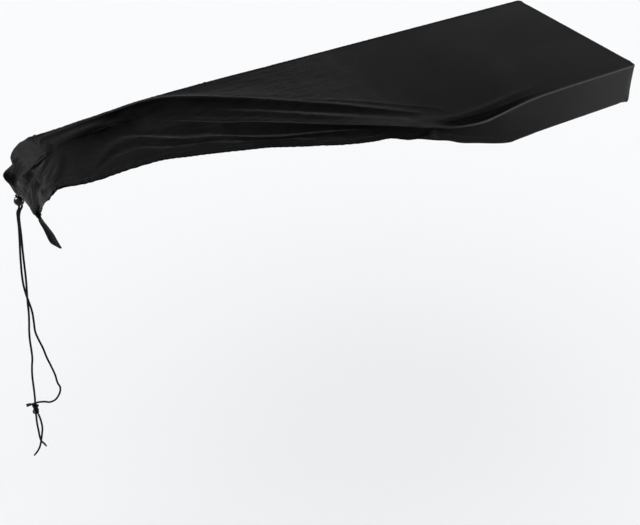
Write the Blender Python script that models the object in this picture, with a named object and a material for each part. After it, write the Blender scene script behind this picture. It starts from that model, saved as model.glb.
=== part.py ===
"""Fitted dust cover for a 61-key piano, pushed back off the left keys, with its cord lock and cords.

Lengths in the tables are millimetres. X runs from the piano's left end, Y from its front edge and
Z up from its underside. The last step moves everything to the mount under the top, in metres.
"""

import math

import bpy
import numpy as np

# Sizes of the cover
RIGHT_X = 914.0
FRONT_Y = -2.0
BACK_Y = 277.0
FRONT_TOP = 62.0
BACK_TOP = 89.0
FLOOR_Z = -2.0
TUCK = 20.0
CORNER_R = 7.0
BOTTOM_R = 3.0
CLOTH = 1.5
SEAM_GAP = 0.36
SEAM_BLEND = 3.0
SLACK_FRONT_X = 31.0
SLACK_BACK_X = 21.0
EVEN_X = 200.0
MOUNT = (456.0, 137.5, 73.9)

# Mesh density: columns along the length, rows from front to back, levels from the seam to the hem
COLUMNS = 70
LEVELS = 12
TOP_LEVELS = (2, 3, 3, 1, 5, 4)
ROWS = sum(TOP_LEVELS)

# Top panel by x: the foot of the long fold, its crest, and the height of the back edge
TOP_FOLD = (
    # x, foot_y, foot_z, crest_y, crest_z, back_z
    (31, 243, 72.0, 262, 76.2, 76.8),
    (65, 247, 74.3, 264, 78.8, 78.6),
    (87, 249, 75.5, 265, 81.0, 80.5),
    (109, 252, 76.0, 266, 82.5, 81.8),
    (127, 258, 76.5, 267, 84.0, 83.0),
    (148, 262, 76.5, 268, 85.5, 84.5),
    (168, 255, 76.5, 268, 87.5, 86.0),
    (191, 243, 75.5, 266, 89.3, 87.6),
    (220, 231, 74.5, 259, 89.8, 88.6),
    (251, 214, 73.5, 242, 88.5, 89.0),
    (293, 186, 72.8, 217, 86.0, 89.0),
    (334, 157, 72.0, 192, 83.3, 89.0),
    (363, 132, 71.6, 169, 80.8, 89.0),
    (392, 108, 71.0, 147, 78.5, 89.0),
    (431, 79, 70.0, 118, 75.6, 89.0),
    (468, 51, 69.0, 89, 72.4, 89.0),
    (500, 31, 67.3, 62, 69.4, 89.0),
    (533, 16, 64.8, 36, 66.2, 89.0),
    (560, 7, 63.0, 24, 64.6, 89.0),
    (600, 3, 62.0, 22, 64.1, 89.0),
    (640, 3, 62.2, 26, 64.5, 89.0),
    (700, 14, 63.4, 48, 66.7, 89.0),
    (760, 40, 65.9, 110, 72.7, 89.0),
    (914, 40, 65.9, 110, 72.7, 89.0),
)

# Front band where it is pushed back over the keys, by x: seam, valley, ridge, low, fold and hem
PUSHED = (
    # x, seam_y, seam_z, valley_y, valley_z, ridge_y, ridge_z, low_y, low_z, fold_y, fold_z, hem_y, hem_z
    (109, 243, 72.0, 239, 69.5, 235, 70.0, 218, 65.5, 199, 65.5, 141, 62.0),
    (127, 252, 72.0, 238, 68.0, 225, 69.5, 208, 64.5, 191, 65.5, 142, 62.0),
    (148, 256, 71.5, 230, 66.0, 208, 68.5, 194, 63.8, 181, 65.0, 141, 61.5),
    (168, 245, 71.0, 215, 64.5, 192, 68.0, 176, 63.0, 162, 64.5, 138, 61.0),
    (191, 229, 71.0, 199, 63.5, 177, 66.5, 164, 62.0, 154, 63.8, 131, 60.5),
    (211, 215, 71.0, 186, 63.0, 164, 65.0, 156, 61.8, 149, 63.2, 125, 60.0),
    (244, 191, 71.0, 175, 62.0, 152, 64.0, 145, 61.3, 137, 62.8, 113, 60.0),
    (268, 171, 71.0, 155, 61.5, 138, 63.5, 130, 60.8, 122, 62.2, 104, 59.5),
    (300, 152, 71.0, 133, 61.0, 117, 63.0, 111, 60.5, 106, 62.0, 92, 59.0),
    (334, 127, 71.0, 112, 61.0, 98, 63.0, 94, 60.5, 90, 61.5, 73, 58.5),
    (363, 105, 70.5, 96, 62.0, 86, 63.5, 80, 60.5, 72, 60.3, 57, 58.5),
    (392, 84, 70.0, 79, 63.5, 72, 64.0, 65, 60.5, 55, 59.8, 41, 58.5),
    (431, 56, 69.5, 54, 64.5, 50, 63.5, 44, 61.0, 36, 59.8, 26, 58.5),
    (455, 38, 69.0, 35, 64.5, 32, 61.8, 29, 60.3, 25, 59.3, 20, 58.3),
    (470, 27, 68.5, 22, 64.0, 18, 61.0, 14, 59.6, 10, 58.6, 6, 57.6),
    (487, 17, 67.0, 10, 63.5, 5, 61.3, 1, 60.0, -1.5, 58.3, -2.2, 56.0),
    (502, 7, 66.0, 1, 63.5, -2, 60.5, -2.6, 57.0, -2.4, 54.0, -2.0, 50.5),
)

# Front band on the piano's front, by x: seam, hem and how far the hem is tucked under
FACE = (
    # x, seam_y, seam_z, hem_z, tuck
    (520, 0.5, 63.5, 44.0, 0.0),
    (536, -3.5, 60.0, 39.0, 0.0),
    (561, -5.5, 56.0, 28.0, 0.0),
    (595, -6.5, 52.5, 17.5, 0.0),
    (625, -6.0, 54.5, 8.0, 0.0),
    (648, -5.0, 57.0, 1.8, 0.2),
    (662, -4.2, 58.4, -0.8, 0.8),
    (680, -3.2, 60.0, FLOOR_Z, 3.5),
    (705, -2.4, 61.3, FLOOR_Z, 9.0),
    (745, FRONT_Y, FRONT_TOP, FLOOR_Z, TUCK),
    (830, FRONT_Y, FRONT_TOP, FLOOR_Z, TUCK),
    (885, FRONT_Y, FRONT_TOP, FLOOR_Z, TUCK),
    (903, FRONT_Y, FRONT_TOP, FLOOR_Z, TUCK),
)

# Slack left end, a row per section, from the back corner round to the keys: x, y, z down each section
LEFT_END = (
    ("back_near", (33, 276.7, 77.0), (20, 278.6, 71), (10, 279.6, 61.5), (4, 279.8, 52), (2, 279.6, 43.5),
     (-3, 279.8, 30.5), (-4, 279.4, 14), (-2, 278.6, -2.4), (5, 272, -6.4), (15, 263, -6.4)),
    ("back_corner", (21, 275, 76.3), (7, 277, 71.5), (-4.5, 278, 62), (-9.5, 278, 52), (-9, 278, 43.5),
     (-25, 278, 30.5), (-19.5, 277, 14), (-13.8, 276, -3.2), (-6, 270, -6.8), (4, 262, -6.8)),
    ("behind_ear", (22.5, 268, 75.3), (9, 268, 71), (-3, 269, 62), (-8.5, 270, 52), (-10, 270, 43),
     (-17, 270, 30), (-16.5, 270, 14), (-13, 270, -2.6), (-6, 264, -6.8), (4, 257, -6.8)),
    ("end_back", (25, 255, 73.3), (10, 256, 69), (-2, 258, 61), (-6.5, 260, 51), (-9, 261, 41),
     (-11, 261, 30), (-12, 262, 15), (-11, 262, 1), (-7.5, 257, -6), (4, 251, -6.5)),
    ("end_middle", (28, 241, 71), (13, 240, 68), (2, 240, 61), (-3.5, 242, 50), (-6, 244, 40),
     (-8, 246, 29), (-9.5, 248, 14), (-9.8, 248, 1), (-7.5, 244, -6), (3, 241, -6.5)),
    ("end_front", (30, 232, 69), (15, 229, 66), (4, 227, 60), (-2.5, 229, 49), (-5, 231, 39),
     (-6.5, 233, 28), (-8.5, 235, 13), (-9.2, 233, 1), (-7.5, 228, -6), (1, 226, -6.5)),
    ("above_neck", (30.8, 229, 68.3), (16, 219, 65.5), (5, 212, 60), (-1.3, 214, 49), (-3.5, 216, 39),
     (-5.2, 219, 28), (-7, 221, 13), (-8.2, 219, 1), (-8, 214, -6), (-5, 211, -7)),
    ("corner", (31, 227, 68), (18, 208, 65.5), (5, 199, 60), (-1.3, 201, 49), (-3, 204, 39),
     (-4.6, 207, 28), (-6, 210, 13), (-7.2, 209, 2), (-7.2, 206, -4), (-6.6, 203, -6.5)),
)
LEFT_FRONT = (
    ("neck_outer", (36, 228.4, 68.6), (20, 203, 65), (5, 190, 60), (-1.2, 192, 46), (-3, 198, 30),
     (-4.6, 203, 14), (-5.2, 205, 4), (-5, 205, -2), (-4.4, 202, -6.2)),
    ("neck_inner", (41.2, 229.6, 69.2), (22, 198, 64.5), (6, 183, 60), (-1, 184, 47), (-1.6, 190, 33),
     (-2.2, 196, 18), (-2.5, 201, 8), (-2.6, 203.5, 2), (-2.4, 204, -4)),
    ("end_hem_low", (46, 230.7, 69.8), (25, 193, 64), (8, 173, 60.8), (-0.5, 171, 52), (-1.4, 173, 43),
     (-1.6, 176.5, 34), (-1.7, 178.3, 28), (-1.7, 180, 24), (-1.6, 181, 20)),
    ("end_hem_high", (51, 232, 70.2), (30, 190, 64), (13, 166, 61.8), (1, 156.5, 59), (-1.2, 154, 53),
     (-1.6, 153, 49), (-1.7, 152.5, 46.5), (-1.7, 152, 44), (-1.5, 152, 42)),
    ("end_top", (57, 233.8, 70.6), (38, 188, 64.5), (22, 160, 62.3), (11, 145, 61.6), (6, 138, 61.2),
     (3, 134, 60.9), (1.5, 131, 60.5), (0.6, 129, 60.2), (0, 127.5, 59.8)),
    ("key_1", (63, 236, 71), (48, 192, 65), (36, 168, 63), (28, 155, 62.3), (24, 150, 62.1),
     (21.5, 148, 62), (20, 147, 61.9), (19, 146.2, 61.8), (18, 145.5, 61.5)),
    ("key_2", (70, 238, 71.3), (60, 196, 66), (49, 170, 63.6), (41, 155, 62.6), (38, 149, 62.3),
     (36, 146, 62.1), (35, 144.5, 62), (34, 143.3, 61.8), (33, 142, 61.5)),
    ("key_3", (78, 239, 71.6), (72, 200, 66.2), (65, 172, 63.7), (59, 153, 62.7), (56, 145, 62.4),
     (54.4, 140, 62.2), (53.4, 137.5, 62), (52.6, 135.8, 61.9), (52, 134, 61.6)),
    ("key_4", (92, 241, 71.8), (90, 206, 66.6), (86, 178, 64), (82, 158, 62.9), (80, 149, 62.5),
     (78.8, 143, 62.3), (78, 140, 62.1), (77.5, 138, 62), (77, 136, 61.7)),
)

# Back band near the slack end, by x: how far it bulges back, and where its hem lies
BACK_SLACK = (
    # x, bulge, hem_z, tuck
    (45, 2.5, -5.5, 14.0),
    (75, 3.0, -4.0, 17.0),
    (120, 2.0, -2.8, 19.0),
    (180, 1.0, FLOOR_Z, TUCK),
)

# Hem corner pulled to a point under the left end: y, then x and z of its outer and inner edges
TONGUE = (
    # outer_y, outer_x, outer_z, inner_y, inner_x, inner_z
    (188, -7.4, -6.8, 190, -2.2, -5.4),
    (168, -8.2, -6.9, 170, -1.2, -6.0),
    (149, -9.6, -6.8, 150, -0.6, -6.2),
    (133, -9.6, -7.0, 132, -1.2, -6.5),
    (115, -3.8, -6.8, 113, -2.2, -6.6),
)

# Creases pressed into the cloth: height, half width, then route points
CREASES = (
    # height, width, (x, y, z) ...
    (3.6, 5.0, (31, 229, 69), (19, 226, 64), (2, 219, 58), (-7, 240, 38), (-11, 266, 16)),
    (-2.6, 5.0, (26, 212, 66), (8, 206, 60), (-2, 220, 40), (-7, 245, 14)),
    (2.2, 4.0, (12, 200, 63), (1, 191, 56), (-2, 212, 35), (-5, 235, 10)),
    (-1.6, 4.0, (14, 188, 62), (1, 180, 54), (-1, 196, 34)),
    (1.6, 6.0, (42, 212, 67), (31, 186, 64), (18, 163, 62)),
    (2.0, 5.0, (138, 246, 70), (160, 226, 69), (190, 214, 69), (225, 200, 71)),
    (-1.6, 6.0, (60, 258, 77), (110, 257, 78), (160, 259, 79)),
    (1.5, 5.0, (180, 270, 89), (220, 260, 90), (293, 217, 86), (363, 169, 81), (431, 118, 76), (520, 46, 67)),
    (-2.6, 9.0, (200, 248, 80), (235, 233, 80), (293, 201, 79), (363, 151, 76), (431, 100, 73), (500, 44, 68)),
)

# Cord lock and cords
LOCK_R = 7.5
LOCK_AT = (-12.9, 274.0, -13.0)
BORE_R = 1.95
CORD_D = 3.0
CORD_SIDE = 2.2
CORD_POINTS = 64
CORD_SIDES = 2
KNOT_AT = (-71.0, 275.2, -394.6)
KNOT_R = (5.9, 5.3, 12.4)
KNOT_SWELL = 0.09
LEFT_ROUTE = ((-15.1, 274, -2.7), (-15.1, 274, -14), (-15.1, 274, -19), (-15.1, 274, -22.5),
              (-19.4, 273.6, -30), (-20.9, 273, -38), (-22.4, 272.6, -50.1), (-24.8, 272.4, -64.7),
              (-27.8, 272.2, -81), (-30.9, 272, -97.5), (-33.7, 272, -114.5), (-36.5, 272, -133.5),
              (-38.2, 272, -152.4), (-38.2, 272, -169.6), (-37.1, 272, -186.2), (-36.4, 272, -203.5),
              (-37.9, 272, -222.6), (-39.8, 272, -242.5), (-38.1, 272, -258.8), (-35.3, 272, -276.5),
              (-33.3, 272, -298.5), (-30.4, 272.2, -317.9), (-27.8, 272.4, -339.4), (-27.1, 272.4, -358.2),
              (-25.2, 272.2, -367.7), (-26.4, 272, -374.1), (-31.1, 271.8, -382.8), (-38.5, 271.6, -389),
              (-46.2, 271.2, -389.2), (-55.7, 271, -383.4), (-64.8, 271.7, -380.4),
              (-70.4, 271.8, -379.8), (-76.5, 272, -379.6), (-83.8, 272.6, -380))
RIGHT_ROUTE = ((-10.7, 274, -6.9), (-10.7, 274, -14), (-10.7, 274, -19), (-10.8, 274, -22),
               (-15.3, 275, -30), (-18.2, 276, -38.8), (-20, 276.2, -51.2), (-21.6, 276, -65.2),
               (-23.7, 276, -81.1), (-26.1, 276, -98.1), (-28.5, 276, -117.6), (-30.6, 276, -135.2),
               (-33, 276, -152.9), (-35.9, 276, -170.7), (-39, 276, -190.4), (-40.8, 276, -204.8),
               (-44.2, 275.8, -223), (-48.1, 275.6, -241.2), (-50.7, 275.4, -258.2), (-52.4, 275.2, -275.9),
               (-54.5, 275.2, -292.3), (-58.5, 275.2, -308.2), (-61.7, 275.2, -324.5),
               (-63.9, 275.2, -341.4), (-65.9, 275.2, -359), (-67.9, 275.3, -374), (-69.3, 275.4, -381.8))
TAIL_LEFT = ((-69.5, 273.8, -407.1), (-68.8, 273.5, -423.7), (-70, 273.4, -439.4), (-73.8, 273.4, -453.2),
             (-78.2, 273.4, -466.8), (-83.1, 273.4, -478.1), (-89, 273.4, -485.4), (-95.3, 273.4, -490.8))
TAIL_RIGHT = ((-73, 276.2, -407), (-75.4, 277, -427.7), (-76.4, 277.4, -444.5), (-77.3, 277.6, -458.6),
              (-76.7, 277.6, -469.8), (-73.6, 277.4, -477.7), (-71.3, 277.2, -485.3))

COLOURS = {
    "top_panel": (0.012, 0.012, 0.013),
    "side_band": (0.014, 0.014, 0.015),
    "cord_lock": (0.016, 0.016, 0.017),
    "cord_left": (0.010, 0.010, 0.011),
    "cord_right": (0.010, 0.010, 0.011),
    "cord_knot": (0.010, 0.010, 0.011),
    "tail_left": (0.010, 0.010, 0.011),
    "tail_right": (0.010, 0.010, 0.011),
}


def unit(v):
    return v / np.maximum(np.linalg.norm(v, axis=-1, keepdims=True), 1e-9)


def curve(knots, values, at):
    """Smooth curve through rows of values at increasing knots."""
    k = np.asarray(knots, float)
    v = np.asarray(values, float).reshape(len(k), -1)
    h = np.diff(k)
    slope = np.diff(v, axis=0) / h[:, None]
    tangent = np.empty_like(v)
    tangent[0] = slope[0]
    tangent[-1] = slope[-1]
    blend = h[:-1, None] + h[1:, None]
    tangent[1:-1] = (slope[:-1] * h[1:, None] + slope[1:] * h[:-1, None]) / blend
    x = np.clip(np.asarray(at, float), k[0], k[-1])
    i = np.clip(np.searchsorted(k, x, side="right") - 1, 0, len(h) - 1)
    t = ((x - k[i]) / h[i])[:, None]
    step = h[i][:, None]
    t2 = t * t
    t3 = t2 * t
    return (
        (2 * t3 - 3 * t2 + 1) * v[i]
        + (t3 - 2 * t2 + t) * step * tangent[i]
        + (3 * t2 - 2 * t3) * v[i + 1]
        + (t3 - t2) * step * tangent[i + 1]
    )


def column(table, x, name_index):
    rows = np.array(table, float)
    return curve(rows[:, 0], rows[:, name_index], np.atleast_1d(x))[:, 0]


def down(points, levels):
    """A section's control points as evenly counted levels."""
    p = np.asarray(points, float)
    chord = np.sqrt(np.linalg.norm(np.diff(p, axis=0), axis=1))
    knots = np.concatenate([[0.0], np.cumsum(chord)])
    place = np.linspace(0, len(p) - 1, levels + 1)
    return curve(knots, p, np.interp(place, np.arange(len(p)), knots))


def plane_z(y):
    """Height of the taut top at a distance from the front."""
    return FRONT_TOP + (BACK_TOP - FRONT_TOP) * (y - FRONT_Y) / (BACK_Y - FRONT_Y)


def upright(x, y, seam_z, out, hem_z, tuck, bulge=0.0):
    """Section of a side that hangs straight from the seam and turns under."""
    o = np.array([out[0], out[1], 0.0])
    seam = np.array([x, y, seam_z])
    low = hem_z + BOTTOM_R
    points = [seam]
    for share, push in ((0.3, -0.5 + bulge), (0.65, -0.6 + bulge), (1.0, bulge * 0.6)):
        points.append(seam + o * push - [0, 0, (seam_z - low) * share])
    flat = seam * [1, 1, 0]
    points.append(flat - o * BOTTOM_R * 0.35 + [0, 0, hem_z + BOTTOM_R * 0.3])
    points.append(flat - o * (BOTTOM_R + tuck * 0.3) + [0, 0, hem_z])
    points.append(flat - o * (BOTTOM_R + tuck) + [0, 0, hem_z])
    return down(points, LEVELS)


def front_row(row):
    """Section of the front band on the piano's front."""
    x, seam_y, seam_z, hem_z, tuck = row
    turn = min(1.0, tuck / 4)
    low = hem_z + BOTTOM_R * turn
    lean = seam_y - FRONT_Y
    points = []
    for share in (0.0, 0.3, 0.62, 0.92):
        y = FRONT_Y + lean * (1 - share) ** 2
        points.append((x, y, seam_z - (seam_z - low) * share))
    drop = points[-1][2] - hem_z
    points.append((x, FRONT_Y + BOTTOM_R * 0.25 * turn, hem_z + drop * 0.4))
    points.append((x, FRONT_Y + (BOTTOM_R + tuck * 0.3) * turn, hem_z + drop * 0.15 * (1 - turn)))
    points.append((x, FRONT_Y + (BOTTOM_R + tuck) * turn, hem_z))
    return down(points, LEVELS)


def pushed_row(row):
    """Section of the front band over the keys."""
    x = row[0]
    points = [(x, row[k], row[k + 1]) for k in range(1, 13, 2)]
    fold = np.array(points[-2])
    hem = np.array(points[-1])
    points.insert(-1, tuple(fold + (hem - fold) * 0.82))
    return down(points, LEVELS)


def corner_rows(centre_x, centre_y, start, seam_z):
    """Sections round an upright corner, a quarter turn from the start angle."""
    rows = []
    for step in range(5):
        angle = math.radians(start + 22.5 * step)
        out = (math.cos(angle), math.sin(angle))
        x = centre_x + CORNER_R * out[0]
        y = centre_y + CORNER_R * out[1]
        rows.append(upright(x, y, seam_z, out, FLOOR_Z, TUCK * 0.8))
    return rows


def band_rows():
    """All sections of the band, round from the slack corner, and where the other three corners are."""
    rows = [down(r[1:], LEVELS) for r in LEFT_END[-1:] + LEFT_FRONT]
    rows += [pushed_row(r) for r in PUSHED]
    rows += [front_row(r) for r in FACE]
    front = corner_rows(RIGHT_X - CORNER_R, FRONT_Y + CORNER_R, -90.0, FRONT_TOP)
    front_corner = len(rows) + 2
    rows += front
    for y in (9.0, 28.0, 70.0, 137.0, 205.0, 247.0, 266.0):
        rows.append(upright(RIGHT_X, y, plane_z(y), (1, 0), FLOOR_Z, TUCK))
    back = corner_rows(RIGHT_X - CORNER_R, BACK_Y - CORNER_R, 0.0, BACK_TOP)
    back_corner = len(rows) + 2
    rows += back
    for x in (903.0, 885.0, 800.0, 600.0, 400.0, 260.0):
        rows.append(upright(x, BACK_Y, BACK_TOP, (0, 1), FLOOR_Z, TUCK))
    for x, bulge, hem_z, tuck in BACK_SLACK[::-1]:
        seam_z = column(TOP_FOLD, x, 5)[0]
        rows.append(upright(x, BACK_Y, seam_z, (0, 1), hem_z, tuck, bulge))
    slack_corner = len(rows) + 1
    rows += [down(r[1:], LEVELS) for r in LEFT_END[:-1]]
    return np.array(rows), front_corner, back_corner, slack_corner


def column_places():
    """Seam x of each column: close in the slack end, wide where the cover is taut."""
    return np.concatenate([
        np.linspace(SLACK_FRONT_X, 92, 19)[:-1],
        np.linspace(92, 560, 39)[:-1],
        np.linspace(560, 912, 15),
    ])


def band_loop():
    """Points of the band on its outside: stations round the loop by levels down the side."""
    rows, front_corner, back_corner, slack_corner = band_rows()
    ring = np.concatenate([rows, rows[:1]])
    step = np.linalg.norm(np.diff(ring, axis=0), axis=2).mean(axis=1)
    place = np.concatenate([[0.0], np.cumsum(step)])
    whole = place[-1]
    # two rows past each end keep the loop smooth where it closes
    knots = np.concatenate([place[-3:-1] - whole, place, place[1:3] + whole])
    values = np.concatenate([ring[-3:-1], ring, ring[1:3]]).reshape(len(knots), -1)
    xs = column_places()
    front_x = rows[: front_corner + 1, 0, 0]
    front = np.interp(xs, front_x, place[: front_corner + 1])
    front[-1] = place[front_corner]
    right = np.linspace(place[front_corner], place[back_corner], ROWS + 1)
    back_x = rows[back_corner: slack_corner + 1, 0, 0]
    wanted = np.interp(xs, (SLACK_FRONT_X, EVEN_X, RIGHT_X), (SLACK_BACK_X, EVEN_X, RIGHT_X))
    back = np.interp(wanted[::-1], back_x[::-1], place[back_corner: slack_corner + 1][::-1])
    back[0] = place[back_corner]
    back[-1] = place[slack_corner]
    gap_ends = np.append(place[slack_corner:-1], whole)
    left = np.interp(np.linspace(0, 1, ROWS + 1), np.linspace(0, 1, len(gap_ends)), gap_ends)
    at = np.concatenate([front[:-1], right[:-1], back[:-1], left[:-1]])
    return curve(knots, values, at).reshape(len(at), LEVELS + 1, 3)


def top_grid(loop):
    """Points of the top panel inside its seam: columns by rows, with the seam as its edge."""
    columns = COLUMNS + 1
    front = loop[:columns, 0]
    right = loop[COLUMNS: COLUMNS + ROWS + 1, 0]
    back = loop[COLUMNS + ROWS: 2 * COLUMNS + ROWS + 1, 0][::-1]
    left = np.concatenate([loop[2 * COLUMNS + ROWS:, 0], loop[:1, 0]])[::-1]
    grid = np.zeros((columns, ROWS + 1, 3))
    place = np.concatenate([[0], np.cumsum(TOP_LEVELS)])
    for i in range(columns):
        x = front[i, 0]
        foot_y, foot_z, crest_y, crest_z = (column(TOP_FOLD, x, k)[0] for k in (1, 2, 3, 4))
        steep = 0.2 + 0.1 * float(np.clip((600 - x) / 100, 0, 1))
        shelf = front[i] + (np.array([x, foot_y, foot_z]) - front[i]) * 0.42
        lip = (x, crest_y + (foot_y - crest_y) * 0.2, crest_z + (foot_z - crest_z) * steep)
        middle_y = crest_y + (back[i, 1] - crest_y) * 0.55
        middle_z = crest_z + (back[i, 2] - crest_z) * 0.55
        rise = float(np.clip((x - 191) / 60, 0, 1))
        middle_z = plane_z(middle_y) * rise + middle_z * (1 - rise)
        points = np.array([
            front[i], shelf, (x, foot_y, foot_z), lip,
            (x, crest_y, crest_z), (x, middle_y, middle_z), back[i],
        ])
        y_share = (points[:, 1] - points[0, 1]) / (points[-1, 1] - points[0, 1])
        points[:, 0] = front[i, 0] + (back[i, 0] - front[i, 0]) * y_share
        chord = np.sqrt(np.linalg.norm(np.diff(points, axis=0), axis=1))
        knots = np.concatenate([[0.0], np.cumsum(chord)])
        at = np.interp(np.arange(ROWS + 1), place, knots)
        grid[i] = curve(knots, points, at)
    # the two end columns are the end seams, and those beside the slack end follow it part of the way
    grid[0] = left
    for i, share in ((1, 0.5), (2, 0.2)):
        grid[i] += (left - left[:1] - grid[i] + grid[i, :1]) * share
    grid[-1] = right
    grid[:, 0] = front
    grid[:, -1] = back
    return grid


def press(points, normals):
    """Pushes the creases into the surface."""
    moved = points.copy()
    for height, width, *route in CREASES:
        r = np.array(route, float)
        along = np.concatenate([[0.0], np.cumsum(np.linalg.norm(np.diff(r, axis=0), axis=1))])
        fine_at = np.linspace(0, along[-1], 60)
        fine = curve(along, r, fine_at)
        apart = np.linalg.norm(points[:, None] - fine[None], axis=2)
        near = apart.argmin(axis=1)
        taper = np.sin(np.pi * np.clip(fine_at[near] / along[-1], 0.04, 0.96)) ** 0.5
        bump = height * np.exp(-((apart.min(axis=1) / width) ** 2)) * taper
        moved += normals * bump[:, None]
    return moved


def tongue_rows(start):
    """Rows of the hem corner, from its neck to its point."""
    rows = []
    for outer_y, outer_x, outer_z, inner_y, inner_x, inner_z in TONGUE:
        outer = np.array([outer_x, outer_y, outer_z])
        inner = np.array([inner_x, inner_y, inner_z])
        share = np.linspace(0, 1, len(start))[:, None]
        row = outer + (inner - outer) * share
        row[:, 2] -= 1.2 * np.sin(np.pi * share[:, 0]) * np.linalg.norm(outer - inner) / 8
        rows.append(row)
    return rows


def surface():
    """The whole outside: points, top faces and band faces, and the seam's points."""
    loop = band_loop()
    count = len(loop)
    band_index = np.arange(count * (LEVELS + 1)).reshape(count, LEVELS + 1)
    points = [loop.reshape(-1, 3)]
    band = []
    for s in range(count):
        n = (s + 1) % count
        for k in range(LEVELS):
            band.append((band_index[s, k], band_index[s, k + 1], band_index[n, k + 1], band_index[n, k]))
    grid = top_grid(loop)
    total = count * (LEVELS + 1)
    top_index = np.full((COLUMNS + 1, ROWS + 1), -1)
    top_index[:, 0] = band_index[: COLUMNS + 1, 0]
    top_index[-1] = band_index[COLUMNS: COLUMNS + ROWS + 1, 0]
    top_index[:, -1] = band_index[COLUMNS + ROWS: 2 * COLUMNS + ROWS + 1, 0][::-1]
    top_index[0] = np.append(band_index[2 * COLUMNS + ROWS:, 0], band_index[0, 0])[::-1]
    inside = []
    for i in range(1, COLUMNS):
        for j in range(1, ROWS):
            top_index[i, j] = total + len(inside)
            inside.append(grid[i, j])
    points.append(np.array(inside))
    total += len(inside)
    top = []
    for i in range(COLUMNS):
        for j in range(ROWS):
            top.append((top_index[i, j], top_index[i + 1, j], top_index[i + 1, j + 1], top_index[i, j + 1]))
    # the tongue grows from the hem between the neck's sections
    neck = [0, 1, 2, 3]
    before = [band_index[s, LEVELS] for s in neck]
    for row in tongue_rows(neck):
        now = list(range(total, total + len(neck)))
        points.append(row)
        total += len(neck)
        for a in range(len(neck) - 1):
            band.append((before[a], now[a], now[a + 1], before[a + 1]))
        before = now
    seam = set(band_index[:, 0].tolist())
    return np.concatenate(points), np.array(top), np.array(band), seam


def face_normals(points, quads):
    a = points[quads[:, 2]] - points[quads[:, 0]]
    b = points[quads[:, 3]] - points[quads[:, 1]]
    return np.cross(a, b)


def point_normals(points, quads):
    """Smooth normals, and how much further a corner's inside lies than the cloth is thick."""
    normals = face_normals(points, quads)
    total = np.zeros_like(points)
    for k in range(4):
        np.add.at(total, quads[:, k], unit(normals))
    total = unit(total)
    lean = np.ones(len(points))
    for k in range(4):
        facing = (unit(normals) * total[quads[:, k]]).sum(axis=1)
        np.minimum.at(lean, quads[:, k], facing)
    return total, 1 / np.clip(lean, 0.72, 1.0)


def seam_blend(points, normals, seam):
    """Turns the normals beside the seam towards the seam's own, so that the inner layers stay apart."""
    edge = np.array(sorted(seam))
    apart = np.linalg.norm(points[:, None] - points[edge][None], axis=2)
    nearest = edge[apart.argmin(axis=1)]
    own = np.clip(apart.min(axis=1) / SEAM_BLEND, 0, 1)[:, None]
    return unit(normals * own + normals[nearest] * (1 - own))


def beside(quads, seam):
    """For each point of the seam, the points next to it inside the panel, or across its corner quad."""
    found = {}
    for quad in quads:
        for k in range(4):
            if quad[k] not in seam:
                continue
            inside = [b for b in (quad[k - 1], quad[(k + 1) % 4]) if b not in seam]
            across = [b for b in (quad[(k + 2) % 4],) if b not in seam]
            found.setdefault(quad[k], []).extend(inside or across)
    return found


def solid(outer, inner, quads, seam, other):
    """Closed shell of one panel, with its seam edge drawn back to leave the gap."""
    used, local = np.unique(quads, return_inverse=True)
    local = local.reshape(-1, 4)
    near = beside(quads, seam)
    far = beside(other, seam)
    shells = []
    for layer in (outer, inner):
        moved = layer.copy()
        for a in seam:
            way = unit(unit(layer[near[a]] - layer[a]).mean(axis=0))
            away = unit(unit(layer[far[a]] - layer[a]).mean(axis=0))
            half = math.sqrt(max(0.3, (1 - float(way @ away)) / 2))
            moved[a] = layer[a] + way * SEAM_GAP / 2 / half
        shells.append(moved[used])
    count = len(used)
    faces = [tuple(q) for q in local]
    faces += [tuple(q[::-1] + count) for q in local]
    edges = {}
    for q in local:
        for k in range(4):
            edges[(q[k], q[(k + 1) % 4])] = True
    for a, b in edges:
        if (b, a) not in edges:
            faces.append((b, a, a + count, b + count))
    return np.concatenate(shells), faces


def material(name):
    found = bpy.data.materials.new(name)
    found.use_nodes = True
    shader = found.node_tree.nodes["Principled BSDF"]
    shader.inputs["Base Color"].default_value = (*COLOURS[name], 1.0)
    shader.inputs["Roughness"].default_value = 0.35 if name == "cord_lock" else 0.85
    found.diffuse_color = (*COLOURS[name], 1.0)
    return found


def metres(point):
    return [(p - m) / 1000 for p, m in zip(point, MOUNT)]


def place(name, data, collection, at):
    """Puts one finished piece in the collection, with its own material."""
    o = bpy.data.objects.new(name, data)
    collection.objects.link(o)
    data.materials.append(material(name))
    o.location = metres(at)


def adopt(o, name, collection):
    """Names a piece that started as a primitive and moves it to its collection."""
    o.name = name
    o.data.name = name
    for home in list(o.users_collection):
        home.objects.unlink(o)
    collection.objects.link(o)


def mesh_piece(name, points, faces, collection, at):
    """A mesh from points in table millimetres, with its origin at one of its own points."""
    data = bpy.data.meshes.new(name)
    local = (np.asarray(points) - np.asarray(at)) / 1000
    data.from_pydata(local.tolist(), [], [tuple(int(i) for i in f) for f in faces])
    data.update()
    data.shade_smooth()
    data.set_sharp_from_angle(angle=math.radians(50))
    place(name, data, collection, at)


def tube(name, route, collection):
    """A cord along a smooth curve through its route points."""
    r = np.array(route, float)
    along = np.concatenate([[0.0], np.cumsum(np.linalg.norm(np.diff(r, axis=0), axis=1))])
    length = along[-1]
    count = max(8, min(CORD_POINTS, round(length / (2.4 * CORD_D)) + 1))
    fine = curve(along, r, np.linspace(0, length, count))
    data = bpy.data.curves.new(name, "CURVE")
    data.dimensions = "3D"
    data.bevel_depth = CORD_D / 2000
    data.bevel_resolution = CORD_SIDES
    data.use_fill_caps = True
    line = data.splines.new("POLY")
    line.points.add(count - 1)
    for point, at in zip(line.points, fine):
        point.co = (*((at - r[0]) / 1000), 1.0)
    line.use_smooth = True
    place(name, data, collection, route[0])


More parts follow.
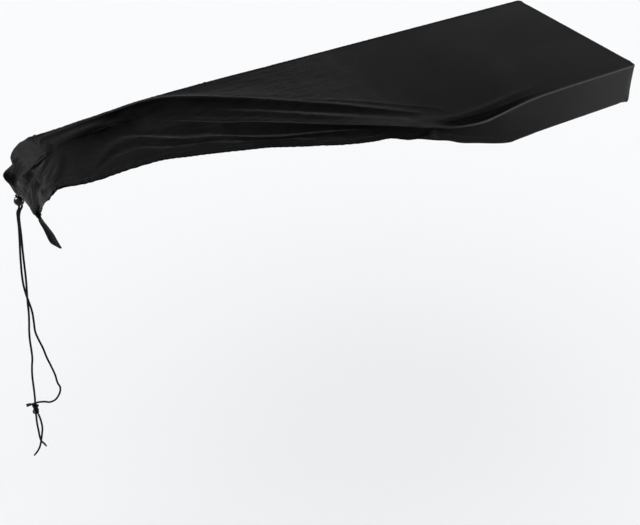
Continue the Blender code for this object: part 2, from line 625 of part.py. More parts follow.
def lock(collection, cutters):
    """Ball with two bores for the cords."""
    bpy.ops.mesh.primitive_uv_sphere_add(
        segments=24, ring_count=14, radius=LOCK_R / 1000, location=metres(LOCK_AT))
    ball = bpy.context.object
    adopt(ball, "cord_lock", collection)
    ball.data.materials.append(material("cord_lock"))
    ball.data.shade_smooth()
    for name, side in (("cutter_bore_left", -1), ("cutter_bore_right", 1)):
        at = (LOCK_AT[0] + side * CORD_SIDE, LOCK_AT[1], LOCK_AT[2])
        bpy.ops.mesh.primitive_cylinder_add(
            vertices=16, radius=BORE_R / 1000, depth=4 * LOCK_R / 1000, location=metres(at))
        cutter = bpy.context.object
        adopt(cutter, name, cutters)
        cutter.hide_render = True
        cutter.display_type = "WIRE"
        cut = ball.modifiers.new(name, "BOOLEAN")
        cut.operation = "DIFFERENCE"
        cut.solver = "EXACT"
        cut.object = cutter


def knot(collection):
    """The tied knot as one rounded body, swollen where the cord's turns lie."""
    bpy.ops.mesh.primitive_uv_sphere_add(segments=16, ring_count=12, radius=1, location=metres(KNOT_AT))
    body = bpy.context.object
    adopt(body, "cord_knot", collection)
    body.data.materials.append(material("cord_knot"))
    body.data.shade_smooth()
    for vertex in body.data.vertices:
        x, y, z = vertex.co
        polar = math.acos(max(-1.0, min(1.0, z)))
        swell = 1 + KNOT_SWELL * math.cos(6 * polar + math.atan2(y, x))
        vertex.co = (x * swell * KNOT_R[0] / 1000, y * swell * KNOT_R[1] / 1000, z * KNOT_R[2] / 1000)


def main():
    for o in list(bpy.data.objects):
        bpy.data.objects.remove(o, do_unlink=True)
    cover = bpy.data.collections.new("piano_cover")
    cutters = bpy.data.collections.new("cutters")
    bpy.context.scene.collection.children.link(cover)
    bpy.context.scene.collection.children.link(cutters)

    base, top, band, seam = surface()
    every = np.concatenate([top, band])
    normals, _ = point_normals(base, every)
    outer = press(base, normals)
    normals, spread = point_normals(outer, every)
    inner = outer - seam_blend(outer, normals, seam) * (CLOTH * spread)[:, None]
    mesh_piece("top_panel", *solid(outer, inner, top, seam, band), cover, (456, 137.5, 75.4))
    mesh_piece("side_band", *solid(outer, inner, band, seam, top), cover, (456, -2, 30))
    lock(cover, cutters)
    tube("cord_left", LEFT_ROUTE, cover)
    tube("cord_right", RIGHT_ROUTE, cover)
    knot(cover)
    tube("tail_left", TAIL_LEFT, cover)
    tube("tail_right", TAIL_RIGHT, cover)


main()
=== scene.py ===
"""Looks of the fitted piano cover: its cloth, drawcord, lock and knot, with light and camera.

Lengths in the tables are millimetres. X runs from the piano's left end, Y from its front edge and
Z up from its underside. Points move to the frame, in metres, by the mount under the top.
"""

import math

import bmesh
import bpy
import numpy as np
from mathutils import Matrix, Vector, noise


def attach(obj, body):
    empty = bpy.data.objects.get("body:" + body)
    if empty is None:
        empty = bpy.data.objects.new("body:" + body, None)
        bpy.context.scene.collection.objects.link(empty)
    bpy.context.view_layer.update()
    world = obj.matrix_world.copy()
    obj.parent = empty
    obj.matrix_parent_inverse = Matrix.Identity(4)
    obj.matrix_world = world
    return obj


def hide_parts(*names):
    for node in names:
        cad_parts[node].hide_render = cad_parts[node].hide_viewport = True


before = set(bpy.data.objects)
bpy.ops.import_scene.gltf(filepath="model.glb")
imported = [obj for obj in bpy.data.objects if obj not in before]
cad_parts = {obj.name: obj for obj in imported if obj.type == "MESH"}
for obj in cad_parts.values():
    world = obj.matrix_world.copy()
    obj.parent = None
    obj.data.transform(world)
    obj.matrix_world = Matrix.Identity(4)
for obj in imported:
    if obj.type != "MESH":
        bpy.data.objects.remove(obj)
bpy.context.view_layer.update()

# Camera: the photo's viewing angle, in degrees, and its frame, in pixels
CAMERA_AZIMUTH = -30.34
CAMERA_ELEVATION = 35.36
CAMERA_ROLL = -1.95
CAMERA_REACH = 994.0
CAMERA_AIM = (213, -183, 60)
FOCAL_PX = 887.0
FRAME_PX = 640.0
SENSOR_MM = 36.0
FLOOR_DROP = 700.0

# Sizes of the cover
RIGHT_X = 914.0
FRONT_Y = -2.0
BACK_Y = 277.0
FRONT_TOP = 62.0
BACK_TOP = 89.0
FLOOR_Z = -2.0
TUCK = 20.0
CORNER_R = 7.0
BOTTOM_R = 3.0
CLOTH = 1.2
SEAM_GAP = 0.04
SLACK_FRONT_X = 31.0
SLACK_BACK_X = 21.0
EVEN_X = 200.0
MOUNT = (456, 137.5, 73.9)

# Mesh density: DETAIL steps to each of the solids' columns and rows, closer together at the seams
DETAIL = 5
BASE_COLUMNS = 70
BASE_ROW_COUNTS = (2, 3, 3, 1, 5, 4)
LEFT_STEPS = (0, 0.14, 0.28, 0.45, 0.65, 0.82)
RIGHT_STEPS = (0, 0.02, 0.045, 0.075, 0.11, 0.16, 0.24, 0.36, 0.52, 0.74)
FRONT_STEPS = (0, 0.06, 0.12, 0.2, 0.3, 0.44, 0.62, 0.8)
REAR_STEPS = (0, 0.03, 0.065, 0.11, 0.17, 0.26, 0.4, 0.58, 0.78)
LEVEL_EDGE = (0, 0.004, 0.009, 0.015, 0.023, 0.033, 0.046)
HEM_EDGE = (0.967, 0.978, 0.987, 0.994, 1)
LEVEL_COUNT = 40
TONGUE_COLUMNS = 3.0
TONGUE_STEPS = 34

# Past every small form, and where the hem corner's own map starts
FAR = 300.0
TONGUE_MAP_FROM = 100.0
TONGUE_MAP_WIDTH = 12.0

# Small forms of the cloth: heights, the puckers' and gathers' pitch, and the hem's depth
SEAM_RIDGE = 0.55
SEAM_DIP = 0.25
PUCKER = 0.20
PUCKER_PITCH = 8.5
GATHER_PITCH = 9.5
HEM_DEPTH = 11.0
HEM_SWELL = 0.35
HEM_DIP = 0.4
HEM_EXTRA = 1.0
GATHER = 0.35
STREAK = 0.30
CRUMPLE = 0.9

# Rounds of smoothing where sections of two kinds meet
BLEND_ROUNDS = 220

# Knit: ribs and rows of loops, as radians of a wave to a metre
WALES = 2 * math.pi * 1250
COURSES = 2 * math.pi * 1500

# Cord mesh, and how high its strands stand as a share of its radius
ROPE_SIDES = 18
RING_STEP = 0.5
BRAID_PITCH = 1.9
STRAND = 0.12

# Knot: turns round the two cords, the radius that they wind at, its length and that of its core
KNOT_TURNS = 4.3
KNOT_R = 3.1
KNOT_LENGTH = 18.4
KNOT_CORE = 22.4

# Top panel by x: the foot of the long fold, its crest, and the height of the back edge
TOP_FOLD = (
    # x, foot_y, foot_z, crest_y, crest_z, back_z
    (31, 243, 72, 262, 76.2, 76.8),
    (65, 247, 74.3, 264, 78.8, 78.6),
    (87, 249, 75.5, 265, 81, 80.5),
    (109, 252, 76, 266, 82.5, 81.8),
    (127, 258, 76.5, 267, 84, 83),
    (148, 262, 76.5, 268, 85.5, 84.5),
    (168, 255, 76.5, 268, 87.5, 86),
    (191, 243, 75.5, 266, 89.3, 87.6),
    (220, 231, 74.5, 259, 89.8, 88.6),
    (251, 214, 73.5, 242, 88.5, 89),
    (293, 186, 72.8, 217, 86, 89),
    (334, 157, 72, 192, 83.3, 89),
    (363, 132, 71.6, 169, 80.8, 89),
    (392, 108, 71, 147, 78.5, 89),
    (431, 79, 70, 118, 75.6, 89),
    (468, 51, 69, 89, 72.4, 89),
    (500, 31, 67.3, 62, 69.4, 89),
    (533, 16, 64.8, 36, 66.2, 89),
    (560, 7, 63, 24, 64.6, 89),
    (600, 3, 62, 22, 64.1, 89),
    (640, 3, 62.2, 26, 64.5, 89),
    (700, 14, 63.4, 48, 66.7, 89),
    (760, 40, 65.9, 110, 72.7, 89),
    (914, 40, 65.9, 110, 72.7, 89),
)

# Front band where it is pushed back over the keys, by x
PUSHED = (
    # x, then y and z of the seam, valley, ridge, low, fold and hem
    (109, 243, 72, 239, 69.5, 235, 70, 218, 65.5, 199, 65.5, 141, 62),
    (127, 252, 72, 238, 68, 225, 69.5, 208, 64.5, 191, 65.5, 142, 62),
    (148, 256, 71.5, 230, 66, 208, 68.5, 194, 63.8, 181, 65, 141, 61.5),
    (168, 245, 71, 215, 64.5, 192, 68, 176, 63, 162, 64.5, 138, 61),
    (191, 229, 71, 199, 63.5, 177, 66.5, 164, 62, 154, 63.8, 131, 60.5),
    (211, 215, 71, 186, 63, 164, 65, 156, 61.8, 149, 63.2, 125, 60),
    (244, 191, 71, 175, 62, 152, 64, 145, 61.3, 137, 62.8, 113, 60),
    (268, 171, 71, 155, 61.5, 138, 63.5, 130, 60.8, 122, 62.2, 104, 59.5),
    (300, 152, 71, 133, 61, 117, 63, 111, 60.5, 106, 62, 92, 59),
    (334, 127, 71, 112, 61, 98, 63, 94, 60.5, 90, 61.5, 73, 58.5),
    (363, 105, 70.5, 96, 62, 86, 63.5, 80, 60.5, 72, 60.3, 57, 58.5),
    (392, 84, 70, 79, 63.5, 72, 64, 65, 60.5, 55, 59.8, 41, 58.5),
    (431, 56, 69.5, 54, 64.5, 50, 63.5, 44, 61, 36, 59.8, 26, 58.5),
    (455, 38, 69, 35, 64.5, 32, 61.8, 29, 60.3, 25, 59.3, 20, 58.3),
    (470, 27, 68.5, 22, 64, 18, 61, 14, 59.6, 10, 58.6, 6, 57.6),
    (487, 17, 67, 10, 63.5, 5, 61.3, 1, 60, -1.5, 58.3, -2.2, 56),
    (502, 7, 66, 1, 63.5, -2, 60.5, -2.6, 57, -2.4, 54, -2, 50.5),
)

# Front band on the piano's front, by x: seam, hem and how far the hem is tucked under
FACE = (
    # x, seam_y, seam_z, hem_z, tuck
    (520, 0.5, 63.5, 44, 0),
    (536, -3.5, 60, 39, 0),
    (561, -5.5, 56, 28, 0),
    (595, -6.5, 52.5, 17.5, 0),
    (625, -6, 54.5, 8, 0),
    (648, -5, 57, 1.8, 0.2),
    (662, -4.2, 58.4, -0.8, 0.8),
    (680, -3.2, 60, FLOOR_Z, 3.5),
    (705, -2.4, 61.3, FLOOR_Z, 9),
    *((x, FRONT_Y, FRONT_TOP, FLOOR_Z, TUCK) for x in (745, 830, 885, 903)),
)

# Slack left end, a row per section, from the back corner round to the keys: x, y, z down each section
LEFT_END = (
    ("back_near", (33, 276.7, 77), (20, 278.6, 71), (10, 279.6, 61.5), (4, 279.8, 52), (2, 279.6, 43.5),
     (-3, 279.8, 30.5), (-4, 279.4, 14), (-2, 278.6, -2.4), (5, 272, -6.4), (15, 263, -6.4)),
    ("back_corner", (21, 275, 76.3), (7, 277, 71.5), (-4.5, 278, 62), (-9.5, 278, 52), (-9, 278, 43.5),
     (-25, 278, 30.5), (-19.5, 277, 14), (-13.8, 276, -3.2), (-6, 270, -6.8), (4, 262, -6.8)),
    ("behind_ear", (22.5, 268, 75.3), (9, 268, 71), (-3, 269, 62), (-8.5, 270, 52), (-10, 270, 43),
     (-17, 270, 30), (-16.5, 270, 14), (-13, 270, -2.6), (-6, 264, -6.8), (4, 257, -6.8)),
    ("end_back", (25, 255, 73.3), (10, 256, 69), (-2, 258, 61), (-6.5, 260, 51), (-9, 261, 41),
     (-11, 261, 30), (-12, 262, 15), (-11, 262, 1), (-7.5, 257, -6), (4, 251, -6.5)),
    ("end_middle", (28, 241, 71), (13, 240, 68), (2, 240, 61), (-3.5, 242, 50), (-6, 244, 40),
     (-8, 246, 29), (-9.5, 248, 14), (-9.8, 248, 1), (-7.5, 244, -6), (3, 241, -6.5)),
    ("end_front", (30, 232, 69), (15, 229, 66), (4, 227, 60), (-2.5, 229, 49), (-5, 231, 39),
     (-6.5, 233, 28), (-8.5, 235, 13), (-9.2, 233, 1), (-7.5, 228, -6), (1, 226, -6.5)),
    ("above_neck", (30.8, 229, 68.3), (16, 219, 65.5), (5, 212, 60), (-1.3, 214, 49), (-3.5, 216, 39),
     (-5.2, 219, 28), (-7, 221, 13), (-8.2, 219, 1), (-8, 214, -6), (-5, 211, -7)),
    ("corner", (31, 227, 68), (18, 208, 65.5), (5, 199, 60), (-1.3, 201, 49), (-3, 204, 39),
     (-4.6, 207, 28), (-6, 210, 13), (-7.2, 209, 2), (-7.2, 206, -4), (-6.6, 203, -6.5)),
)
LEFT_FRONT = (
    ("neck_outer", (36, 228.4, 68.6), (20, 203, 65), (5, 190, 60), (-1.2, 192, 46), (-3, 198, 30),
     (-4.6, 203, 14), (-5.2, 205, 4), (-5, 205, -2), (-4.4, 202, -6.2)),
    ("neck_inner", (41.2, 229.6, 69.2), (22, 198, 64.5), (6, 183, 60), (-1, 184, 47), (-1.6, 190, 33),
     (-2.2, 196, 18), (-2.5, 201, 8), (-2.6, 203.5, 2), (-2.4, 204, -4)),
    ("end_hem_low", (46, 230.7, 69.8), (25, 193, 64), (8, 173, 60.8), (-0.5, 171, 52), (-1.4, 173, 43),
     (-1.6, 176.5, 34), (-1.7, 178.3, 28), (-1.7, 180, 24), (-1.6, 181, 20)),
    ("end_hem_high", (51, 232, 70.2), (30, 190, 64), (13, 166, 61.8), (1, 156.5, 59), (-1.2, 154, 53),
     (-1.6, 153, 49), (-1.7, 152.5, 46.5), (-1.7, 152, 44), (-1.5, 152, 42)),
    ("end_top", (57, 233.8, 70.6), (38, 188, 64.5), (22, 160, 62.3), (11, 145, 61.6), (6, 138, 61.2),
     (3, 134, 60.9), (1.5, 131, 60.5), (0.6, 129, 60.2), (0, 127.5, 59.8)),
    ("key_1", (63, 236, 71), (48, 192, 65), (36, 168, 63), (28, 155, 62.3), (24, 150, 62.1),
     (21.5, 148, 62), (20, 147, 61.9), (19, 146.2, 61.8), (18, 145.5, 61.5)),
    ("key_2", (70, 238, 71.3), (60, 196, 66), (49, 170, 63.6), (41, 155, 62.6), (38, 149, 62.3),
     (36, 146, 62.1), (35, 144.5, 62), (34, 143.3, 61.8), (33, 142, 61.5)),
    ("key_3", (78, 239, 71.6), (72, 200, 66.2), (65, 172, 63.7), (59, 153, 62.7), (56, 145, 62.4),
     (54.4, 140, 62.2), (53.4, 137.5, 62), (52.6, 135.8, 61.9), (52, 134, 61.6)),
    ("key_4", (92, 241, 71.8), (90, 206, 66.6), (86, 178, 64), (82, 158, 62.9), (80, 149, 62.5),
     (78.8, 143, 62.3), (78, 140, 62.1), (77.5, 138, 62), (77, 136, 61.7)),
)

# Back band near the slack end, by x: how far it bulges back, and where its hem lies
BACK_SLACK = (
    # x, bulge, hem_z, tuck
    (45, 2.5, -5.5, 14),
    (75, 3, -4, 17),
    (120, 2, -2.8, 19),
    (180, 1, FLOOR_Z, TUCK),
)

# Hem corner pulled to a point under the left end: y, then x and z of its outer and inner edges
TONGUE = (
    # outer_y, outer_x, outer_z, inner_y, inner_x, inner_z
    (188, -7.4, -6.8, 190, -2.2, -5.4),
    (168, -8.2, -6.9, 170, -1.2, -6),
    (149, -9.6, -6.8, 150, -0.6, -6.2),
    (133, -9.6, -7, 132, -1.2, -6.5),
    (115, -3.8, -6.8, 113, -2.2, -6.6),
)

# Creases pressed into the cloth: height, half width, then route points
CREASES = (
    # height, width, (x, y, z) ...
    (3.6, 5, (31, 229, 69), (19, 226, 64), (2, 219, 58), (-7, 240, 38), (-11, 266, 16)),
    (-2.6, 5, (26, 212, 66), (8, 206, 60), (-2, 220, 40), (-7, 245, 14)),
    (2.2, 4, (12, 200, 63), (1, 191, 56), (-2, 212, 35), (-5, 235, 10)),
    (-1.6, 4, (14, 188, 62), (1, 180, 54), (-1, 196, 34)),
    (1.6, 6, (42, 212, 67), (31, 186, 64), (18, 163, 62)),
    (2, 5, (138, 246, 70), (160, 226, 69), (190, 214, 69), (225, 200, 71)),
    (1.5, 5, (180, 270, 89), (220, 260, 90), (293, 217, 86), (363, 169, 81), (431, 118, 76),
     (520, 46, 67)),
    (-2.6, 9, (200, 248, 80), (235, 233, 80), (293, 201, 79), (363, 151, 76), (431, 100, 73),
     (500, 44, 68)),
)

# Cord lock and cords
LOCK_R = 7.5
LOCK_AT = (-12.9, 274, -13)
BORE_R = 1.95
CORD_D = 3.0
CORD_SIDE = 2.2
KNOT_AT = (-71, 275.2, -394.6)
LEFT_ROUTE = (
    (-15.1, 274, -2.7), (-15.1, 274, -14), (-15.1, 274, -19), (-15.1, 274, -22.5),
    (-19.4, 273.6, -30), (-20.9, 273, -38), (-22.4, 272.6, -50.1), (-24.8, 272.4, -64.7),
    (-27.8, 272.2, -81), (-30.9, 272, -97.5), (-33.7, 272, -114.5), (-36.5, 272, -133.5),
    (-38.2, 272, -152.4), (-38.2, 272, -169.6), (-37.1, 272, -186.2), (-36.4, 272, -203.5),
    (-37.9, 272, -222.6), (-39.8, 272, -242.5), (-38.1, 272, -258.8), (-35.3, 272, -276.5),
    (-33.3, 272, -298.5), (-30.4, 272.2, -317.9), (-27.8, 272.4, -339.4), (-27.1, 272.4, -358.2),
    (-25.2, 272.2, -367.7), (-26.4, 272, -374.1), (-31.1, 271.8, -382.8), (-38.5, 271.6, -389),
    (-46.2, 271.2, -389.2), (-55.7, 271, -383.4), (-64.8, 271.7, -380.4), (-70.4, 271.8, -379.8),
    (-76.5, 272, -379.6), (-83.8, 272.6, -380),
)
RIGHT_ROUTE = (
    (-10.7, 274, -6.9), (-10.7, 274, -14), (-10.7, 274, -19), (-10.8, 274, -22), (-15.3, 275, -30),
    (-18.2, 276, -38.8), (-20, 276.2, -51.2), (-21.6, 276, -65.2), (-23.7, 276, -81.1),
    (-26.1, 276, -98.1), (-28.5, 276, -117.6), (-30.6, 276, -135.2), (-33, 276, -152.9),
    (-35.9, 276, -170.7), (-39, 276, -190.4), (-40.8, 276, -204.8), (-44.2, 275.8, -223),
    (-48.1, 275.6, -241.2), (-50.7, 275.4, -258.2), (-52.4, 275.2, -275.9), (-54.5, 275.2, -292.3),
    (-58.5, 275.2, -308.2), (-61.7, 275.2, -324.5), (-63.9, 275.2, -341.4), (-65.9, 275.2, -359),
    (-67.9, 275.3, -374), (-69.3, 275.4, -381.8),
)
TAIL_LEFT = (
    (-69.5, 273.8, -407.1), (-68.8, 273.5, -423.7), (-70, 273.4, -439.4), (-73.8, 273.4, -453.2),
    (-78.2, 273.4, -466.8), (-83.1, 273.4, -478.1), (-89, 273.4, -485.4), (-95.3, 273.4, -490.8),
)
TAIL_RIGHT = (
    (-73, 276.2, -407), (-75.4, 277, -427.7), (-76.4, 277.4, -444.5), (-77.3, 277.6, -458.6),
    (-76.7, 277.6, -469.8), (-73.6, 277.4, -477.7), (-71.3, 277.2, -485.3),
)

# Finer folds that only the cloth's look has: height, width, then route points
FINE_CREASES = (
    # height, width, (x, y, z) ...
    (1.1, 2, (31, 226, 68.8), (17, 218, 65.7), (4, 216, 60.3), (-8, 242, 37.1), (-13, 263, 20)),
    (-1.3, 2.2, (27, 221, 67.7), (11, 213, 63.3), (-1, 220, 52.3), (-11, 250, 26.8)),
    (0.9, 2, (21, 212, 65.6), (14, 205, 63.7), (5, 198, 59.7), (-2, 197, 50.7)),
    (-0.8, 2, (12, 212, 63.3), (2, 209, 52.6), (-5, 225, 29.1), (-7, 234, 19)),
    (-0.7, 2.2, (30, 215, 66.6), (18, 200, 64.4), (8, 188, 60.7), (1, 188, 52.9)),
    (0.6, 3.5, (40, 211, 67.8), (30, 201, 65.6), (20, 185, 63.4), (6, 171, 59.5)),
    (0.7, 1.8, (40, 268, 78), (65, 269, 79.8), (100, 270, 82.4), (150, 271, 85.6)),
    (0.8, 1.8, (168, 247, 72.6), (191, 231, 72), (211, 217, 71.8), (244, 193, 71.8), (268, 173, 71.8),
     (300, 154, 71.8), (334, 129, 71.6), (363, 107, 71), (392, 86, 70.6)),
    (2.2, 8, (220, 237, 76), (251, 220, 75), (293, 192, 74), (334, 163, 73.2), (363, 138, 72.6),
     (392, 113, 72), (431, 84, 70.8)),
    (5.5, 11, (38, 241, 74), (65, 243, 75.4), (87, 245, 76.4), (109, 248, 77.2), (135, 252, 77.8),
     (165, 259, 79)),
    (0.9, 2.2, (161, 226, 67), (190, 211, 66.4), (222, 189, 65), (253, 178, 66.8), (269, 168, 69.5)),
    (-0.8, 2.2, (168, 240, 68), (204, 214, 67), (240, 190, 66.5), (285, 158, 67)),
    (0.9, 2.4, (95, 236, 71.5), (110, 240, 70.3), (135, 215, 68), (169, 196, 67.2), (205, 171, 65.1),
     (247, 156, 63.4), (290, 123, 62.7), (317, 105, 62), (355, 88, 62.8), (387, 74, 63.9)),
    (-0.8, 2.4, (110, 221, 66.8), (135, 204, 66.5), (169, 184, 65.5), (205, 166, 63.6), (247, 148, 62.6)),
    (0.8, 2, (128, 187, 65.3), (156, 176, 64.6), (178, 160, 64), (202, 156, 62.2), (225, 147, 62.3),
     (260, 135, 61.2), (285, 114, 62), (305, 103, 61.9), (353, 84, 60.5), (383, 68, 60.3)),
    (0.6, 2.5, (89, 202, 66), (100, 198, 65.8), (113, 193, 65.3)),
    (0.5, 2.5, (84, 186, 65), (96, 180, 64.5), (108, 175, 64.1)),
    (0.8, 2, (389, 159, 80), (443, 129, 76.5), (484, 99, 73), (524, 67, 69.2), (548, 48, 67),
     (567, 19, 64.1)),
    (0.9, 2.2, (540, 8, 63.6), (555, 5, 62), (561, -1, 58.5), (584, -4, 54.8), (604, -6, 52.8),
     (637, -5, 49.7), (690, -3, 43)),
    (0.5, 2, (560, 6, 62.8), (607, 2, 60.8), (650, 4, 62.4), (700, 8, 63.8), (760, 5, 64.2)),
    (1.2, 7, (560, 14, 63.6), (610, 13, 63.4), (660, 18, 64.2), (720, 26, 65.4)),
)

# Dark and light of each finish, linear. The seam tone is a painted highlight: a lighter base colour along
# the seam, which fades out over the first range below, in metres from the seam, and over the second, in
# metres of the frame's x, towards the left.
CLOTH_DARK = (0.0007, 0.0007, 0.00073)
CLOTH_LIGHT = (0.0014, 0.0014, 0.00146)
SEAM_HIGHLIGHT_TONE = (0.042, 0.042, 0.044)
SEAM_HIGHLIGHT_WIDTH = (0.0004, 0.0018)
SEAM_HIGHLIGHT_FADE_X = (0.03, 0.18)
CORD_DARK = (0.0010, 0.0010, 0.0011)
CORD_LIGHT = (0.0030, 0.0030, 0.0032)
PLASTIC_DARK = (0.0010, 0.0010, 0.0011)
PLASTIC_LIGHT = (0.0024, 0.0024, 0.0026)
FLOOR_TONE = (0.90, 0.90, 0.90)

# Gloss of each finish
CLOTH_SPECULAR = 0.012
CLOTH_SHEEN = 0.06
CORD_SPECULAR = 0.06
PLASTIC_SPECULAR = 0.15

# Surroundings
WORLD_TONE = (0.98, 0.99, 1)
WORLD_STRENGTH = 1.08
FLOOR_M = 16
SOFTBOXES = (
    # name, azimuth, elevation, distance and size in metres, watts
    ("behind", -126, 31, 1.7, 0.8, 130),
    ("low_right", 62, -12, 1.1, 0.4, 13),
    ("under_right", 73, -14, 0.95, 0.4, 2),
)


def unit(v):
    return v / np.maximum(np.linalg.norm(v, axis=-1, keepdims=True), 1e-9)


def curve(knots, values, at):
    """Smooth curve through rows of values at increasing knots."""
    k = np.asarray(knots, float)
    v = np.asarray(values, float).reshape(len(k), -1)
    h = np.diff(k)
    slope = np.diff(v, axis=0) / h[:, None]
    tangent = np.empty_like(v)
    tangent[0] = slope[0]
    tangent[-1] = slope[-1]
    blend = h[:-1, None] + h[1:, None]
    tangent[1:-1] = (slope[:-1] * h[1:, None] + slope[1:] * h[:-1, None]) / blend
    x = np.clip(np.asarray(at, float), k[0], k[-1])
    i = np.clip(np.searchsorted(k, x, side="right") - 1, 0, len(h) - 1)
    t = ((x - k[i]) / h[i])[:, None]
    step = h[i][:, None]
    t2 = t * t
    t3 = t2 * t
    return (
        (2 * t3 - 3 * t2 + 1) * v[i]
        + (t3 - 2 * t2 + t) * step * tangent[i]
        + (3 * t2 - 2 * t3) * v[i + 1]
        + (t3 - t2) * step * tangent[i + 1]
    )


def column(table, x, k):
    rows = np.array(table, float)
    return curve(rows[:, 0], rows[:, k], [x])[0, 0]


def lengths_along(points, axis=0):
    """Distance run along a grid's axis, from its first line."""
    steps = np.linalg.norm(np.diff(points, axis=axis), axis=-1)
    start = np.zeros_like(np.take(steps, [0], axis=axis))
    return np.concatenate([start, np.cumsum(steps, axis=axis)], axis=axis)


def summed(steps):
    return np.concatenate([[0.0], np.cumsum(steps)])


def spaced(count, first, last):
    """Places 0 to count, DETAIL to a step, closer together at both ends."""
    middle = np.arange(DETAIL, (count - 1) * DETAIL + 1) / DETAIL
    return np.concatenate([np.array(first), middle, count - np.array(last)[::-1]])


COLUMN_AT = spaced(BASE_COLUMNS, LEFT_STEPS, RIGHT_STEPS)
ROW_AT = spaced(sum(BASE_ROW_COUNTS), FRONT_STEPS, REAR_STEPS)
COLUMNS = len(COLUMN_AT) - 1
ROWS = len(ROW_AT) - 1
LEVEL_SHARES = np.concatenate([LEVEL_EDGE, np.linspace(0.062, 0.955, LEVEL_COUNT), HEM_EDGE])
LEVELS = len(LEVEL_SHARES) - 1


def chord_knots(points):
    return summed(np.sqrt(np.linalg.norm(np.diff(points, axis=0), axis=1)))


def down(points):
    """A section's control points as levels from the seam to the hem."""
    p = np.asarray(points, float)
    knots = chord_knots(p)
    return curve(knots, p, np.interp(LEVEL_SHARES * (len(p) - 1), np.arange(len(p)), knots))


def plane_z(y):
    """Height of the taut top at a distance from the front."""
    return FRONT_TOP + (BACK_TOP - FRONT_TOP) * (y - FRONT_Y) / (BACK_Y - FRONT_Y)


def upright(x, y, seam_z, out, hem_z, tuck, bulge=0.0):
    """Section of a side that hangs straight from the seam and turns under."""
    o = np.array([out[0], out[1], 0.0])
    seam = np.array([x, y, seam_z])
    low = hem_z + BOTTOM_R
    points = [seam]
    for share, push in ((0.3, -0.5 + bulge), (0.65, -0.6 + bulge), (1.0, bulge * 0.6)):
        points.append(seam + o * push - [0, 0, (seam_z - low) * share])
    flat = seam * [1, 1, 0]
    points.append(flat - o * BOTTOM_R * 0.35 + [0, 0, hem_z + BOTTOM_R * 0.3])
    points.append(flat - o * (BOTTOM_R + tuck * 0.3) + [0, 0, hem_z])
    points.append(flat - o * (BOTTOM_R + tuck) + [0, 0, hem_z])
    return down(points)


def front_row(row):
    """Section of the front band on the piano's front."""
    x, seam_y, seam_z, hem_z, tuck = row
    turn = min(1.0, tuck / 4)
    low = hem_z + BOTTOM_R * turn
    lean = seam_y - FRONT_Y
    points = []
    for share in (0.0, 0.3, 0.62, 0.92):
        y = FRONT_Y + lean * (1 - share) ** 2
        points.append((x, y, seam_z - (seam_z - low) * share))
    drop = points[-1][2] - hem_z
    points.append((x, FRONT_Y + BOTTOM_R * 0.25 * turn, hem_z + drop * 0.4))
    points.append((x, FRONT_Y + (BOTTOM_R + tuck * 0.3) * turn, hem_z + drop * 0.15 * (1 - turn)))
    points.append((x, FRONT_Y + (BOTTOM_R + tuck) * turn, hem_z))
    return down(points)


def pushed_row(row):
    """Section of the front band over the keys."""
    x = row[0]
    points = [(x, row[k], row[k + 1]) for k in range(1, 13, 2)]
    fold = np.array(points[-2])
    hem = np.array(points[-1])
    points.insert(-1, tuple(fold + (hem - fold) * 0.82))
    return down(points)


def corner_rows(centre_x, centre_y, start, seam_z):
    """Sections round an upright corner, a quarter turn from the start angle."""
    rows = []
    for step in range(5):
        angle = math.radians(start + 22.5 * step)
        out = (math.cos(angle), math.sin(angle))
        x = centre_x + CORNER_R * out[0]
        y = centre_y + CORNER_R * out[1]
        rows.append(upright(x, y, seam_z, out, FLOOR_Z, TUCK * 0.8))
    return rows


def band_rows():
    """All sections of the band, round from the slack corner, and where the other three corners are."""
    rows = [down(r[1:]) for r in LEFT_END[-1:] + LEFT_FRONT]
    rows += [pushed_row(r) for r in PUSHED]
    rows += [front_row(r) for r in FACE]
    front = corner_rows(RIGHT_X - CORNER_R, FRONT_Y + CORNER_R, -90.0, FRONT_TOP)
    front_corner = len(rows) + 2
    rows += front
    for y in (9, 28, 70, 137, 205, 247, 266):
        rows.append(upright(RIGHT_X, y, plane_z(y), (1, 0), FLOOR_Z, TUCK))
    back = corner_rows(RIGHT_X - CORNER_R, BACK_Y - CORNER_R, 0.0, BACK_TOP)
    back_corner = len(rows) + 2
    rows += back
    for x in (903, 885, 800, 600, 400, 260):
        rows.append(upright(x, BACK_Y, BACK_TOP, (0, 1), FLOOR_Z, TUCK))
    for x, bulge, hem_z, tuck in BACK_SLACK[::-1]:
        seam_z = column(TOP_FOLD, x, 5)
        rows.append(upright(x, BACK_Y, seam_z, (0, 1), hem_z, tuck, bulge))
    slack_corner = len(rows) + 1
    rows += [down(r[1:]) for r in LEFT_END[:-1]]
    return np.array(rows), front_corner, back_corner, slack_corner


def column_places():
    """Seam x of each column: close in the slack end, wide where the cover is taut."""
    coarse = np.concatenate([
        np.linspace(SLACK_FRONT_X, 92, 19)[:-1],
        np.linspace(92, 560, 39)[:-1],
        np.linspace(560, 912, 15),
    ])
    return np.interp(COLUMN_AT, np.arange(BASE_COLUMNS + 1), coarse)


